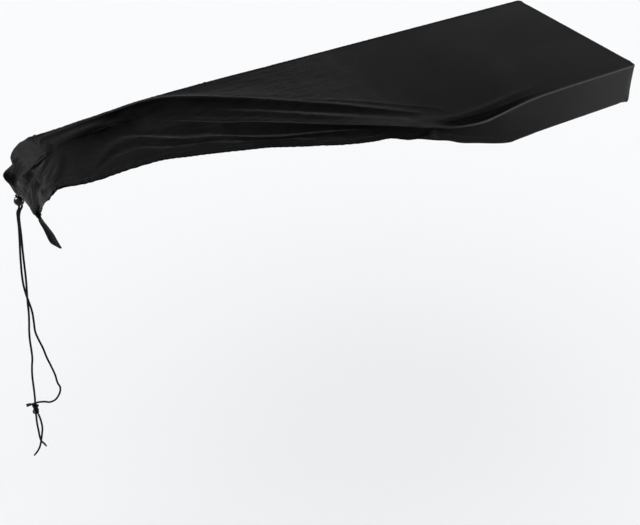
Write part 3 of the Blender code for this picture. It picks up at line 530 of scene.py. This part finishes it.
def band_loop():
    """Points of the band on its outside: stations round the loop by levels down the side."""
    rows, front_corner, back_corner, slack_corner = band_rows()
    ring = np.concatenate([rows, rows[:1]])
    place = summed(np.linalg.norm(np.diff(ring, axis=0), axis=2).mean(axis=1))
    whole = place[-1]
    # two rows past each end keep the loop smooth where it closes
    knots = np.concatenate([place[-3:-1] - whole, place, place[1:3] + whole])
    values = np.concatenate([ring[-3:-1], ring, ring[1:3]]).reshape(len(knots), -1)
    xs = column_places()
    front_x = rows[: front_corner + 1, 0, 0]
    front = np.interp(xs, front_x, place[: front_corner + 1])
    front[-1] = place[front_corner]
    row_share = ROW_AT / ROW_AT[-1]
    right = place[front_corner] + (place[back_corner] - place[front_corner]) * row_share
    back_x = rows[back_corner: slack_corner + 1, 0, 0]
    wanted = np.interp(xs, (SLACK_FRONT_X, EVEN_X, RIGHT_X), (SLACK_BACK_X, EVEN_X, RIGHT_X))
    back = np.interp(wanted[::-1], back_x[::-1], place[back_corner: slack_corner + 1][::-1])
    back[0] = place[back_corner]
    back[-1] = place[slack_corner]
    gap_ends = np.append(place[slack_corner:-1], whole)
    left = np.interp(1 - row_share[::-1], np.linspace(0, 1, len(gap_ends)), gap_ends)
    at = np.concatenate([front[:-1], right[:-1], back[:-1], left[:-1]])
    loop = curve(knots, values, at).reshape(len(at), LEVELS + 1, 3)
    # the sections over the first keys are of two kinds, so they are blended where they meet
    near = np.clip((50 - abs(xs - 112)) / 25, 0, 1)[:-1, None, None]
    for _ in range(BLEND_ROUNDS):
        part = loop[: len(xs) - 1]
        mean = (np.roll(part, 1, axis=0) + part + np.roll(part, -1, axis=0)) / 3
        loop[: len(xs) - 1] += (mean - part) * near
    return loop


def seam_sides(loop):
    """What a loop holds along the seam's front, right, back and left."""
    turn = COLUMNS + ROWS
    back = loop[turn: turn + COLUMNS + 1, 0][::-1]
    left = np.concatenate([loop[turn + COLUMNS:, 0], loop[:1, 0]])[::-1]
    return loop[: COLUMNS + 1, 0], loop[COLUMNS: turn + 1, 0], back, left


def top_grid(loop):
    """Points of the top panel inside its seam: columns by rows, with the seam as its edge."""
    front, right, back, left = seam_sides(loop)
    grid = np.zeros((COLUMNS + 1, ROWS + 1, 3))
    place = summed(BASE_ROW_COUNTS)
    for i in range(COLUMNS + 1):
        x = front[i, 0]
        foot_y, foot_z, crest_y, crest_z = (column(TOP_FOLD, x, k) for k in (1, 2, 3, 4))
        steep = 0.2 + 0.1 * float(np.clip((600 - x) / 100, 0, 1))
        shelf = front[i] + (np.array([x, foot_y, foot_z]) - front[i]) * 0.42
        lip = (x, crest_y + (foot_y - crest_y) * 0.2, crest_z + (foot_z - crest_z) * steep)
        middle_y = crest_y + (back[i, 1] - crest_y) * 0.55
        middle_z = crest_z + (back[i, 2] - crest_z) * 0.55
        rise = float(np.clip((x - 191) / 60, 0, 1))
        middle_z = plane_z(middle_y) * rise + middle_z * (1 - rise)
        points = np.array([
            front[i], shelf, (x, foot_y, foot_z), lip,
            (x, crest_y, crest_z), (x, middle_y, middle_z), back[i],
        ])
        y_share = (points[:, 1] - points[0, 1]) / (points[-1, 1] - points[0, 1])
        points[:, 0] = front[i, 0] + (back[i, 0] - front[i, 0]) * y_share
        knots = chord_knots(points)
        grid[i] = curve(knots, points, np.interp(ROW_AT, place, knots))
    # the two end columns are the end seams, and those beside the slack end follow it part of the way
    grid[0] = left
    for i in range(1, COLUMNS + 1):
        share = float(np.interp(COLUMN_AT[i], (0, 1, 2, 3), (1, 0.5, 0.2, 0)))
        grid[i] += (left - left[:1] - grid[i] + grid[i, :1]) * share
    grid[-1] = right
    grid[:, 0] = front
    grid[:, -1] = back
    return grid


def tongue_grid(loop):
    """The hem corner's points, from its neck on the hem to its point."""
    width = int(np.searchsorted(COLUMN_AT, TONGUE_COLUMNS)) + 1
    share = COLUMN_AT[:width] / TONGUE_COLUMNS
    rows = [loop[:width, -6], loop[:width, -1]]
    for outer_y, outer_x, outer_z, inner_y, inner_x, inner_z in TONGUE:
        outer = np.array([outer_x, outer_y, outer_z])
        inner = np.array([inner_x, inner_y, inner_z])
        row = outer + (inner - outer) * share[:, None]
        row[:, 2] -= 1.2 * np.sin(np.pi * share) * np.linalg.norm(outer - inner) / 8
        rows.append(row)
    rows = np.array(rows)
    knots = summed(np.linalg.norm(np.diff(rows, axis=0), axis=2).mean(axis=1))
    at = np.linspace(knots[1], knots[-1], TONGUE_STEPS + 1)
    return curve(knots, rows.reshape(len(rows), -1), at).reshape(len(at), width, 3)


def quads_of(index):
    """Quads between neighbours of a grid of point numbers."""
    a = index[:-1, :-1].ravel()
    b = index[1:, :-1].ravel()
    c = index[1:, 1:].ravel()
    d = index[:-1, 1:].ravel()
    return np.stack([a, b, c, d], axis=1)


class Cloth:
    """The outside of the whole cover: its points, each panel's faces and places on the cloth."""

    def __init__(self):
        loop = band_loop()
        count = len(loop)
        ring = np.arange(count * (LEVELS + 1)).reshape(count, LEVELS + 1)
        closed = np.concatenate([ring, ring[:1]])
        band = quads_of(closed)[:, ::-1]
        along = lengths_along(np.concatenate([loop[:, 0], loop[:1, 0]]))
        deep = lengths_along(loop, axis=1)
        weave = np.stack([np.repeat(along[:-1, None], LEVELS + 1, axis=1), deep], axis=2)
        points = [loop.reshape(-1, 3)]
        weaves = [weave.reshape(-1, 2)]
        seams = [deep.reshape(-1)]
        hems = [(deep[:, -1:] - deep).reshape(-1)]

        grid = top_grid(loop)
        index = np.full((COLUMNS + 1, ROWS + 1), -1)
        index[:, 0], index[-1], index[:, -1], index[0] = seam_sides(ring)
        inside = grid[1:-1, 1:-1]
        spots = inside[..., 0].size
        index[1:-1, 1:-1] = ring.size + np.arange(spots).reshape(inside.shape[:2])
        top = quads_of(index)
        from_left = lengths_along(grid, axis=0)
        from_front = lengths_along(grid, axis=1)
        to_seam = np.minimum(
            np.minimum(from_left, from_left[-1:] - from_left),
            np.minimum(from_front, from_front[:, -1:] - from_front),
        )
        points.append(inside.reshape(-1, 3))
        weaves.append(np.stack([from_left, from_front], axis=2)[1:-1, 1:-1].reshape(-1, 2))
        seams.append(to_seam[1:-1, 1:-1].reshape(-1))
        hems.append(np.full(spots, FAR))
        total = ring.size + spots

        tongue = tongue_grid(loop)
        rows, width = tongue.shape[:2]
        more = (rows - 1) * width
        strip = np.concatenate([ring[None, :width, -1], total + np.arange(more).reshape(-1, width)])
        run = lengths_along(tongue, axis=0)
        across = np.minimum(lengths_along(tongue, axis=1), TONGUE_MAP_WIDTH)
        points.append(tongue[1:].reshape(-1, 3))
        weaves.append(np.stack([across, run + TONGUE_MAP_FROM], axis=2)[1:].reshape(-1, 2))
        seams.append(np.full(more, FAR))
        hems.append(np.zeros(more))
        band = np.concatenate([band, quads_of(strip)])

        joined = map(np.concatenate, (points, weaves, seams, hems))
        self.points, self.weave, self.to_seam, self.to_hem = joined
        self.top = top
        self.band = band
        self.seam = set(ring[:, 0].tolist())
        self.tongue_start = total
        self.around = along[-1]


def route_distance(points, route):
    """Distance of points from a smooth route, and how far along it they lie, from 0 to 1."""
    r = np.array(route, float)
    along = lengths_along(r)
    fine = curve(along, r, np.linspace(0, along[-1], 14 * len(r)))
    ends = fine[1:] - fine[:-1]
    best = np.full(len(points), FAR)
    share = np.zeros(len(points))
    for k, way in enumerate(ends):
        t = np.clip(((points - fine[k]) @ way) / max(way @ way, 1e-9), 0, 1)
        apart = np.linalg.norm(points - fine[k] - t[:, None] * way, axis=1)
        closer = apart < best
        best[closer] = apart[closer]
        share[closer] = (k + t[closer]) / len(ends)
    return best, share


def press(points, normals, creases):
    """Pushes creases into the surface along its normals."""
    moved = points.copy()
    for height, width, *route in creases:
        r = np.array(route, float)
        reach = 3 * width + 10
        near = ((points > r.min(axis=0) - reach) & (points < r.max(axis=0) + reach)).all(axis=1)
        apart, share = route_distance(points[near], route)
        taper = np.sin(np.pi * np.clip(share, 0.04, 0.96)) ** 0.5
        bump = height * np.exp(-((apart / width) ** 2)) * taper
        moved[near] += normals[near] * bump[:, None]
    return moved


def uneven(points, scale, seed):
    """Smooth noise from about -1 to 1 at each point, at a scale in millimetres."""
    shift = Vector((seed * 17.3, seed * 5.1, seed * 9.7))
    return np.array([noise.noise(Vector(p) / scale + shift) for p in points])


def relief(cloth, points):
    """Height of the small forms: seam ridge, puckers, the hem's channel and the slack cloth's ripples."""
    seam = cloth.to_seam
    hem = cloth.to_hem
    along = cloth.weave[:, 0]
    x, y, z = points.T
    slack = np.clip((560 - x) / 160, 0, 1)
    loose = slack * np.clip((268 - y) / 8, 0, 1)
    drift = uneven(points, 26.0, 1)
    ridge = SEAM_RIDGE * np.exp(-(((seam - 1.7) / 1.1) ** 2)) - SEAM_DIP * np.exp(-((seam / 0.6) ** 2))
    height = ridge * (1 - 0.9 * loose)
    pucker = np.sin(2 * np.pi * along / PUCKER_PITCH + 5 * drift) * np.exp(-seam / 5)
    height += PUCKER * pucker * (1 - 0.7 * loose)
    channel = 1 / (1 + np.exp((hem - HEM_DEPTH) / 0.7))
    height += HEM_SWELL * channel - HEM_DIP * np.exp(-(((hem - HEM_DEPTH - 1.2) / 0.9) ** 2))
    gather = np.sin(2 * np.pi * along / GATHER_PITCH + 6 * drift) * np.exp(-((hem / 14) ** 2))
    height += GATHER * gather * slack
    # streaks run along the folds, and down the slant of the slack end's creases
    end = np.clip((34 - x) / 14, 0, 1) * np.clip((z - 2) / 16, 0, 1)
    streaks = np.stack([x * 0.3, y, z], axis=1)
    slant = np.stack([x, (0.6 * y - 0.8 * z) * 0.5, 0.8 * y + 0.6 * z], axis=1)
    ripple = uneven(streaks, 8.0, 2) + 0.5 * uneven(streaks, 3.5, 3)
    height += (0.05 + STREAK * slack) * (1 - end) * ripple
    height += CRUMPLE * end * (uneven(slant, 7.5, 4) + 0.5 * uneven(slant, 3.5, 5))
    height[cloth.tongue_start:] *= 0.5
    return height


def solid(outer, inner, quads, seam, other):
    """Closed shell of one panel, with its seam edge drawn back a little."""
    used, local = np.unique(quads, return_inverse=True)
    local = local.reshape(-1, 4)
    near = beside(quads, seam)
    far = beside(other, seam)
    shells = []
    for layer in (outer, inner):
        moved = layer.copy()
        for a in seam:
            way = unit(unit(layer[near[a]] - layer[a]).mean(axis=0))
            away = unit(unit(layer[far[a]] - layer[a]).mean(axis=0))
            half = math.sqrt(max(0.3, (1 - float(way @ away)) / 2))
            moved[a] = layer[a] + way * SEAM_GAP / 2 / half
        shells.append(moved[used])
    count = len(used)
    edges = np.concatenate([local[:, [k, (k + 1) % 4]] for k in range(4)])
    keys = edges[:, 0].astype(np.int64) * count + edges[:, 1]
    back = edges[:, 1].astype(np.int64) * count + edges[:, 0]
    rim = edges[~np.isin(back, keys)]
    sides = np.stack([rim[:, 1], rim[:, 0], rim[:, 0] + count, rim[:, 1] + count], axis=1)
    faces = np.concatenate([local, local[:, ::-1] + count, sides])
    return np.concatenate(shells), faces, used


def to_frame(points):
    return (np.asarray(points, float) - np.array(MOUNT)) / 1000


def placed(name, data):
    """A new object in the scene for a mesh, a light or a camera."""
    o = bpy.data.objects.new(name, data)
    bpy.context.scene.collection.objects.link(o)
    return o


def mesh_of(name, points, faces):
    """A mesh from points in table millimetres."""
    data = bpy.data.meshes.new(name)
    data.from_pydata(to_frame(points).tolist(), [], faces)
    data.update()
    return data


def shade(data, sharp):
    """Smooth shading, but for edges that turn by more than an angle in degrees."""
    data.shade_smooth()
    data.set_sharp_from_angle(angle=math.radians(sharp))


def cloth_piece(name, points, faces, finish, weave, around):
    """A panel with the cloth's own places as its map, in metres."""
    data = mesh_of(name, points, faces.tolist())
    shade(data, 60)
    corners = weave[faces]
    # a face over the loop's start takes the places past its end
    wide = np.ptp(corners[..., 0], axis=1) > around / 2
    low = corners[..., 0] < around / 2
    corners[..., 0] += around * (wide[:, None] & low)
    layer = data.uv_layers.new(name="weave")
    layer.uv.foreach_set("vector", (corners.reshape(-1, 2) / 1000).astype(np.float32).ravel())
    data.materials.append(finish)
    return placed(name, data)


def point_normals(points, quads):
    """Smooth normals, and how much further a corner's inside lies than the cloth is thick."""
    first = points[quads[:, 2]] - points[quads[:, 0]]
    second = points[quads[:, 3]] - points[quads[:, 1]]
    normals = unit(np.cross(first, second))
    total = np.zeros_like(points)
    for k in range(4):
        np.add.at(total, quads[:, k], normals)
    total = unit(total)
    lean = np.ones(len(points))
    for k in range(4):
        facing = (normals * total[quads[:, k]]).sum(axis=1)
        np.minimum.at(lean, quads[:, k], facing)
    return total, 1 / np.clip(lean, 0.72, 1.0)


def beside(quads, seam):
    """For each point of the seam, the points next to it inside the panel, or across its corner quad."""
    found = {}
    for quad in quads:
        for k in range(4):
            if quad[k] not in seam:
                continue
            inside = [b for b in (quad[k - 1], quad[(k + 1) % 4]) if b not in seam]
            across = [b for b in (quad[(k + 2) % 4],) if b not in seam]
            found.setdefault(quad[k], []).extend(inside or across)
    return found


def link(tree, start, start_socket, end, end_socket):
    tree.links.new(start.outputs[start_socket], end.inputs[end_socket])


def set_inputs(shader, **values):
    for name, value in values.items():
        shader.inputs[name.replace("_", " ")].default_value = value


def node(tree, kind, **values):
    """A shader node with its properties and sockets set by name."""
    made = tree.nodes.new(kind)
    for name, value in values.items():
        if hasattr(made, name):
            setattr(made, name, value)
        else:
            set_inputs(made, **{name: value})
    return made


def math_node(tree, operation, first, second=None):
    """A Math node whose inputs are numbers or (node, socket) pairs."""
    made = node(tree, "ShaderNodeMath", operation=operation)
    for k, value in enumerate((first, second)):
        if isinstance(value, tuple):
            link(tree, *value, made, k)
        elif value is not None:
            made.inputs[k].default_value = value
    return made


def map_range(tree, source, socket, **limits):
    """A Map Range node fed from a socket, with its limits set by name."""
    made = node(tree, "ShaderNodeMapRange", **limits)
    link(tree, source, socket, made, "Value")
    return made


def cloudy(tree, place, **values):
    """Noise over the piece's own places."""
    made = node(tree, "ShaderNodeTexNoise", **values)
    link(tree, place, "Object", made, "Vector")
    return made


def finish_of(name, roughness, dark, light, tone_scale):
    """A material whose colour drifts between two tones, and its shader, to be finished by the caller."""
    made = bpy.data.materials.new(name)
    made.use_nodes = True
    tree = made.node_tree
    shader = tree.nodes["Principled BSDF"]
    set_inputs(shader, Roughness=roughness)
    place = node(tree, "ShaderNodeTexCoord")
    tone = cloudy(tree, place, Scale=tone_scale, Detail=5, Roughness=0.6)
    ramp = node(tree, "ShaderNodeValToRGB")
    for stop, position, colour in zip(ramp.color_ramp.elements, (0.32, 0.72), (dark, light)):
        stop.position = position
        stop.color = (*colour, 1)
    link(tree, tone, "Fac", ramp, "Fac")
    link(tree, ramp, "Color", shader, "Base Color")
    return made, tree, shader, place


def bump(tree, shader, height, socket, strength, distance):
    made = node(tree, "ShaderNodeBump", Strength=strength, Distance=distance)
    link(tree, height, socket, made, "Height")
    link(tree, made, "Normal", shader, "Normal")
    return made


def cloth_finish():
    """Black stretch knit: ribs of loops, a nap, a low sheen and a painted highlight, a lighter base colour
    along the seam where the cover is taut.
    """
    made, tree, shader, place = finish_of("cover_cloth", 0.48, CLOTH_DARK, CLOTH_LIGHT, 38.0)
    set_inputs(shader, Specular_IOR_Level=CLOTH_SPECULAR, Sheen_Weight=CLOTH_SHEEN,
               Sheen_Roughness=0.20, Sheen_Tint=(0.86, 0.86, 0.87, 1))
    weave = node(tree, "ShaderNodeUVMap", uv_map="weave")
    split = node(tree, "ShaderNodeSeparateXYZ")
    link(tree, weave, "UV", split, "Vector")
    # Painted highlight along the seam: the base colour turns towards the light seam tone near the seam,
    # fading out towards the left.
    seam_highlight_band = map_range(tree, split, "Y", From_Min=SEAM_HIGHLIGHT_WIDTH[0], From_Max=SEAM_HIGHLIGHT_WIDTH[1],
                          To_Min=1, To_Max=0)
    mix = node(tree, "ShaderNodeMix", data_type="RGBA")
    where = node(tree, "ShaderNodeSeparateXYZ")
    link(tree, place, "Object", where, "Vector")
    taut = map_range(tree, where, "X", From_Min=SEAM_HIGHLIGHT_FADE_X[0], From_Max=SEAM_HIGHLIGHT_FADE_X[1])
    share = math_node(tree, "MULTIPLY", (seam_highlight_band, "Result"), (taut, "Result"))
    link(tree, share, "Value", mix, 0)
    link(tree, tree.nodes["Color Ramp"], "Color", mix, 6)
    mix.inputs[7].default_value = (*SEAM_HIGHLIGHT_TONE, 1)
    link(tree, mix, 2, shader, "Base Color")
    wale = math_node(tree, "SINE", (math_node(tree, "MULTIPLY", (split, "X"), WALES), "Value"))
    course = math_node(tree, "SINE", (math_node(tree, "MULTIPLY", (split, "Y"), COURSES), "Value"))
    loops = math_node(tree, "MULTIPLY_ADD", (wale, "Value"), 0.6)
    link(tree, course, "Value", loops, 2)
    nap = cloudy(tree, place, Scale=900, Detail=4, Roughness=0.7)
    fuzz = math_node(tree, "MULTIPLY_ADD", (nap, "Fac"), 2.2)
    link(tree, loops, "Value", fuzz, 2)
    bump(tree, shader, fuzz, "Value", 0.35, 0.00022)
    worn = map_range(tree, nap, "Fac", To_Min=0.40, To_Max=0.54)
    link(tree, worn, "Result", shader, "Roughness")
    return made


def cord_finish():
    """Black braided polyester: strands with a dull shine and darker gaps between them."""
    made, tree, shader, place = finish_of("cord_braid", 0.48, CORD_DARK, CORD_LIGHT, 260.0)
    set_inputs(shader, Specular_IOR_Level=CORD_SPECULAR)
    fibre = cloudy(tree, place, Scale=2600, Detail=3)
    bump(tree, shader, fibre, "Fac", 0.4, 0.00012)
    return made


def plastic_finish():
    """Moulded black plastic with a faint haze from handling."""
    made, tree, shader, place = finish_of("lock_plastic", 0.2, PLASTIC_DARK, PLASTIC_LIGHT, 90.0)
    haze = cloudy(tree, place, Scale=420, Detail=5, Roughness=0.65)
    set_inputs(shader, Specular_IOR_Level=PLASTIC_SPECULAR)
    spread = map_range(tree, haze, "Fac", To_Min=0.14, To_Max=0.32)
    link(tree, spread, "Result", shader, "Roughness")
    bump(tree, shader, haze, "Fac", 0.12, 0.0001)
    return made


def floor_finish():
    made = bpy.data.materials.new("pale_floor")
    made.use_nodes = True
    set_inputs(made.node_tree.nodes["Principled BSDF"], Base_Color=(*FLOOR_TONE, 1), Roughness=0.9)
    return made


def evenly(line, fewest, extra):
    """Points about RING_STEP apart along a line."""
    arc = lengths_along(line)
    at = np.linspace(0, arc[-1], max(fewest, round(arc[-1] / RING_STEP)) + extra)
    return np.stack([np.interp(at, arc, line[:, k]) for k in range(3)], axis=1)


def cord_line(route):
    """Evenly spaced points on the smooth curve through a cord's route."""
    r = np.array(route, float)
    along = lengths_along(r)
    return evenly(curve(along, r, np.linspace(0, along[-1], 60 * len(r))), 12, 1)


def rings_along(line, angles):
    """Directions out of a line at each of its points, turned as little as possible along it."""
    ahead = unit(np.gradient(line, axis=0))
    side = unit(np.cross(ahead[0], (0.3, 1.0, 0.2)))
    spokes = np.empty((len(line), len(angles), 3))
    for k, way in enumerate(ahead):
        side = unit(side - way * (side @ way))
        other = np.cross(way, side)
        spokes[k] = np.cos(angles)[:, None] * side + np.sin(angles)[:, None] * other
    return spokes


def rope_mesh(line, sealed_end):
    """Points and faces of a braided cord round a line; a sealed end is drawn in and rounded."""
    angle = 2 * np.pi * np.arange(ROPE_SIDES) / ROPE_SIDES
    spokes = rings_along(line, angle)
    arc = lengths_along(line)
    turn = np.pi * arc[:, None] / BRAID_PITCH
    plait = np.abs(np.sin(3 * angle[None] + turn)) * np.abs(np.sin(3 * angle[None] - turn))
    radius = CORD_D / 2 * (1 + STRAND * plait)
    if sealed_end:
        left = arc[-1] - arc
        radius *= np.interp(left, (0, 0.4, 1.2, 3.5, 6), (0.45, 0.72, 0.86, 0.9, 1))[:, None]
    points = line[:, None] + spokes * radius[..., None]
    count = len(line)
    index = np.arange(count * ROPE_SIDES).reshape(count, ROPE_SIDES)
    index = np.concatenate([index, index[:, :1]], axis=1)
    faces = quads_of(index).tolist()
    last = count * ROPE_SIDES
    every = np.concatenate([points.reshape(-1, 3), line[:1], line[-1:]])
    for k in range(ROPE_SIDES):
        faces.append((last, index[0, k], index[0, k + 1]))
        faces.append((last + 1, index[-1, k + 1], index[-1, k]))
    return every, faces


def cord_piece(name, points, faces, finish):
    data = mesh_of(name, points, faces)
    shape = bmesh.new()
    shape.from_mesh(data)
    bmesh.ops.recalc_face_normals(shape, faces=shape.faces)
    shape.to_mesh(data)
    shape.free()
    shade(data, 55)
    data.materials.append(finish)
    return placed(name, data)


def rope(name, route, finish, sealed_end):
    """A braided cord as its own piece, with the line that it follows in the frame."""
    line = cord_line(route)
    points, faces = rope_mesh(line, sealed_end)
    return cord_piece(name, points, faces, finish), [tuple(p) for p in to_frame(line[::6])], line


def knot_piece(finish):
    """The knot: turns wound tight round two cords, and the loop's return limb that goes into it."""
    centre = np.array(KNOT_AT)
    t = np.linspace(0, 1, 170)
    wound = 2 * np.pi * KNOT_TURNS * t + 0.6
    out = KNOT_R + 0.9 * np.sin(2 * np.pi * t * 1.5 + 0.5)
    wrap = np.stack([out * np.cos(wound), out * 0.92 * np.sin(wound), KNOT_LENGTH * (0.5 - t)], axis=1)
    wrap[:, :2] *= (0.35 + 0.65 * np.clip(np.minimum(t, 1 - t) / 0.07, 0, 1))[:, None]
    wrap[:, 0] += 1.1 * np.cos(np.pi * t)
    turns = [wrap + centre]
    for side in (-1, 1):
        s = np.linspace(-1, 1, 60)
        across = side * 1.3 + 0.6 * np.sin(4 * s)
        core = np.stack([across, side * 0.7 * np.cos(3 * s), -KNOT_CORE / 2 * s], axis=1)
        turns.append(core + centre)
    end = np.array(LEFT_ROUTE[-1])
    turns.append(cord_line((
        end + (0.2, 3.3, -0.3), end + (5, 3.1, -0.6), end + (9, 2.7, -2.6), centre + (0.5, 0, 9.5),
    )))
    points = []
    faces = []
    for line in turns:
        more, more_faces = rope_mesh(evenly(line, 8, 0), False)
        start = sum(len(p) for p in points)
        points.append(more)
        faces += [tuple(i + start for i in f) for f in more_faces]
    return cord_piece("knot_turns", np.concatenate(points), faces, finish)


def lock_piece(finish):
    """The lock: a ball with a raised parting line, a groove near its top and two bores."""
    shape = bmesh.new()
    bmesh.ops.create_uvsphere(shape, u_segments=48, v_segments=32, radius=LOCK_R)
    for vertex in shape.verts:
        z = vertex.co.z
        radius = math.hypot(vertex.co.x, vertex.co.y)
        swell = 1 + 0.035 * math.exp(-((z / 0.55) ** 2)) - 0.05 * math.exp(-(((z - 3.6) / 0.4) ** 2))
        if radius > 1e-6:
            vertex.co.x *= swell
            vertex.co.y *= swell
    data = bpy.data.meshes.new("lock_ball")
    shape.to_mesh(data)
    shape.free()
    data.transform(Matrix.Translation(to_frame(LOCK_AT)) @ Matrix.Scale(0.001, 4))
    data.materials.append(finish)
    ball = placed("lock_ball", data)
    for side in (-1, 1):
        bpy.ops.mesh.primitive_cylinder_add(
            vertices=32, radius=BORE_R / 1000, depth=4 * LOCK_R / 1000,
            location=to_frame((LOCK_AT[0] + side * CORD_SIDE, LOCK_AT[1], LOCK_AT[2])))
        cutter = bpy.context.object
        cut = ball.modifiers.new("bore", "BOOLEAN")
        cut.solver = "EXACT"
        cut.object = cutter
        bpy.context.view_layer.update()
        shaped = bpy.data.meshes.new_from_object(ball.evaluated_get(bpy.context.evaluated_depsgraph_get()))
        ball.modifiers.clear()
        ball.data = shaped
        bpy.data.objects.remove(cutter, do_unlink=True)
    shade(ball.data, 40)
    return ball


def direction(azimuth, elevation):
    """The way out to a place at an azimuth from the front and an elevation, in degrees."""
    a = math.radians(azimuth)
    e = math.radians(elevation)
    return Vector((math.sin(a) * math.cos(e), -math.cos(a) * math.cos(e), math.sin(e)))


def photo_camera():
    """The camera at the photo's place, with its focal length and frame."""
    back = direction(CAMERA_AZIMUTH, CAMERA_ELEVATION)
    roll = math.radians(CAMERA_ROLL)
    level = Vector((0, 0, 1)).cross(back).normalized()
    rise = back.cross(level)
    right = level * math.cos(roll) + rise * math.sin(roll)
    up = rise * math.cos(roll) - level * math.sin(roll)
    data = bpy.data.cameras.new("photo_camera")
    data.sensor_width = SENSOR_MM
    data.lens = SENSOR_MM * FOCAL_PX / FRAME_PX
    data.clip_start = 0.01
    o = placed("photo_camera", data)
    turn = Matrix((right, up, back)).transposed().to_4x4()
    o.matrix_world = Matrix.Translation(Vector(to_frame(CAMERA_AIM)) + back * CAMERA_REACH / 1000) @ turn
    bpy.context.scene.camera = o


def softbox(name, azimuth, elevation, distance, size, power, flag):
    """A square area light that looks at the cover; its flag keeps its light off the floor."""
    out = direction(azimuth, elevation)
    data = bpy.data.lights.new(name, "AREA")
    data.shape = "SQUARE"
    data.size = size
    data.energy = power
    o = placed(name, data)
    o.location = out * distance
    o.visible_camera = False
    o.rotation_euler = out.to_track_quat("Z", "Y").to_euler()
    o.light_linking.receiver_collection = flag


def studio():
    """Pale floor and surroundings, a soft light behind the left end and two low ones on the right."""
    world = bpy.data.worlds.new("studio")
    bpy.context.scene.world = world
    world.use_nodes = True
    set_inputs(world.node_tree.nodes["Background"], Color=(*WORLD_TONE, 1), Strength=WORLD_STRENGTH)
    bpy.context.scene.view_settings.view_transform = "Standard"
    bpy.ops.mesh.primitive_plane_add(size=FLOOR_M, location=(0, 0, -FLOOR_DROP / 1000))
    floor = bpy.context.object
    floor.name = "floor"
    floor.data.materials.append(floor_finish())
    flag = bpy.data.collections.new("flag")
    flag.objects.link(floor)
    flag.collection_objects[0].light_linking.link_state = "EXCLUDE"
    for row in SOFTBOXES:
        softbox(*row, flag)


def stands_for(piece, node_name):
    """Puts a piece in place of a solid: hangs it under the root body and hides the solid."""
    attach(piece, "root")
    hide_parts(node_name)


def make_cover(finish):
    """Both panels of the cover, each in place of its solid."""
    cloth = Cloth()
    every = np.concatenate([cloth.top, cloth.band])
    normals, _ = point_normals(cloth.points, every)
    folded = press(cloth.points, normals, CREASES + FINE_CREASES)
    normals, _ = point_normals(folded, every)
    outer = folded + normals * relief(cloth, folded)[:, None]
    normals, spread = point_normals(outer, every)
    thick = CLOTH + HEM_EXTRA / (1 + np.exp((cloth.to_hem - HEM_DEPTH) / 0.7))
    thick[cloth.tongue_start:] = CLOTH
    inner = outer - normals * (thick * spread)[:, None]
    made = []
    for name, quads, other, node_name, slot in (
        ("cover_top", cloth.top, cloth.band, "top_panel", "top_cloth"),
        ("cover_band", cloth.band, cloth.top, "side_band", "band_cloth"),
    ):
        points, faces, used = solid(outer, inner, quads, cloth.seam, other)
        weave = np.tile(cloth.weave[used], (2, 1))
        piece = cloth_piece(name, points, faces, finish, weave, cloth.around)
        stands_for(piece, node_name)
        made.append(piece)
    return made


def main():
    photo_camera()
    studio()
    top, band = make_cover(cloth_finish())

    braid = cord_finish()
    lock = lock_piece(plastic_finish())
    stands_for(lock, "cord_lock")
    turns = knot_piece(braid)
    stands_for(turns, "cord_knot")
    for name, node_name, route, far_end, pieces in (
        ("drawcord_left", "cord_left", LEFT_ROUTE, "knot", [turns]),
        ("drawcord_right", "cord_right", RIGHT_ROUTE, "knot", []),
        ("free_end_left", "tail_left", TAIL_LEFT, "bare", []),
        ("free_end_right", "tail_right", TAIL_RIGHT, "bare", []),
    ):
        piece, path, line = rope(name, route, braid, far_end == "bare")
        stands_for(piece, node_name)


main()
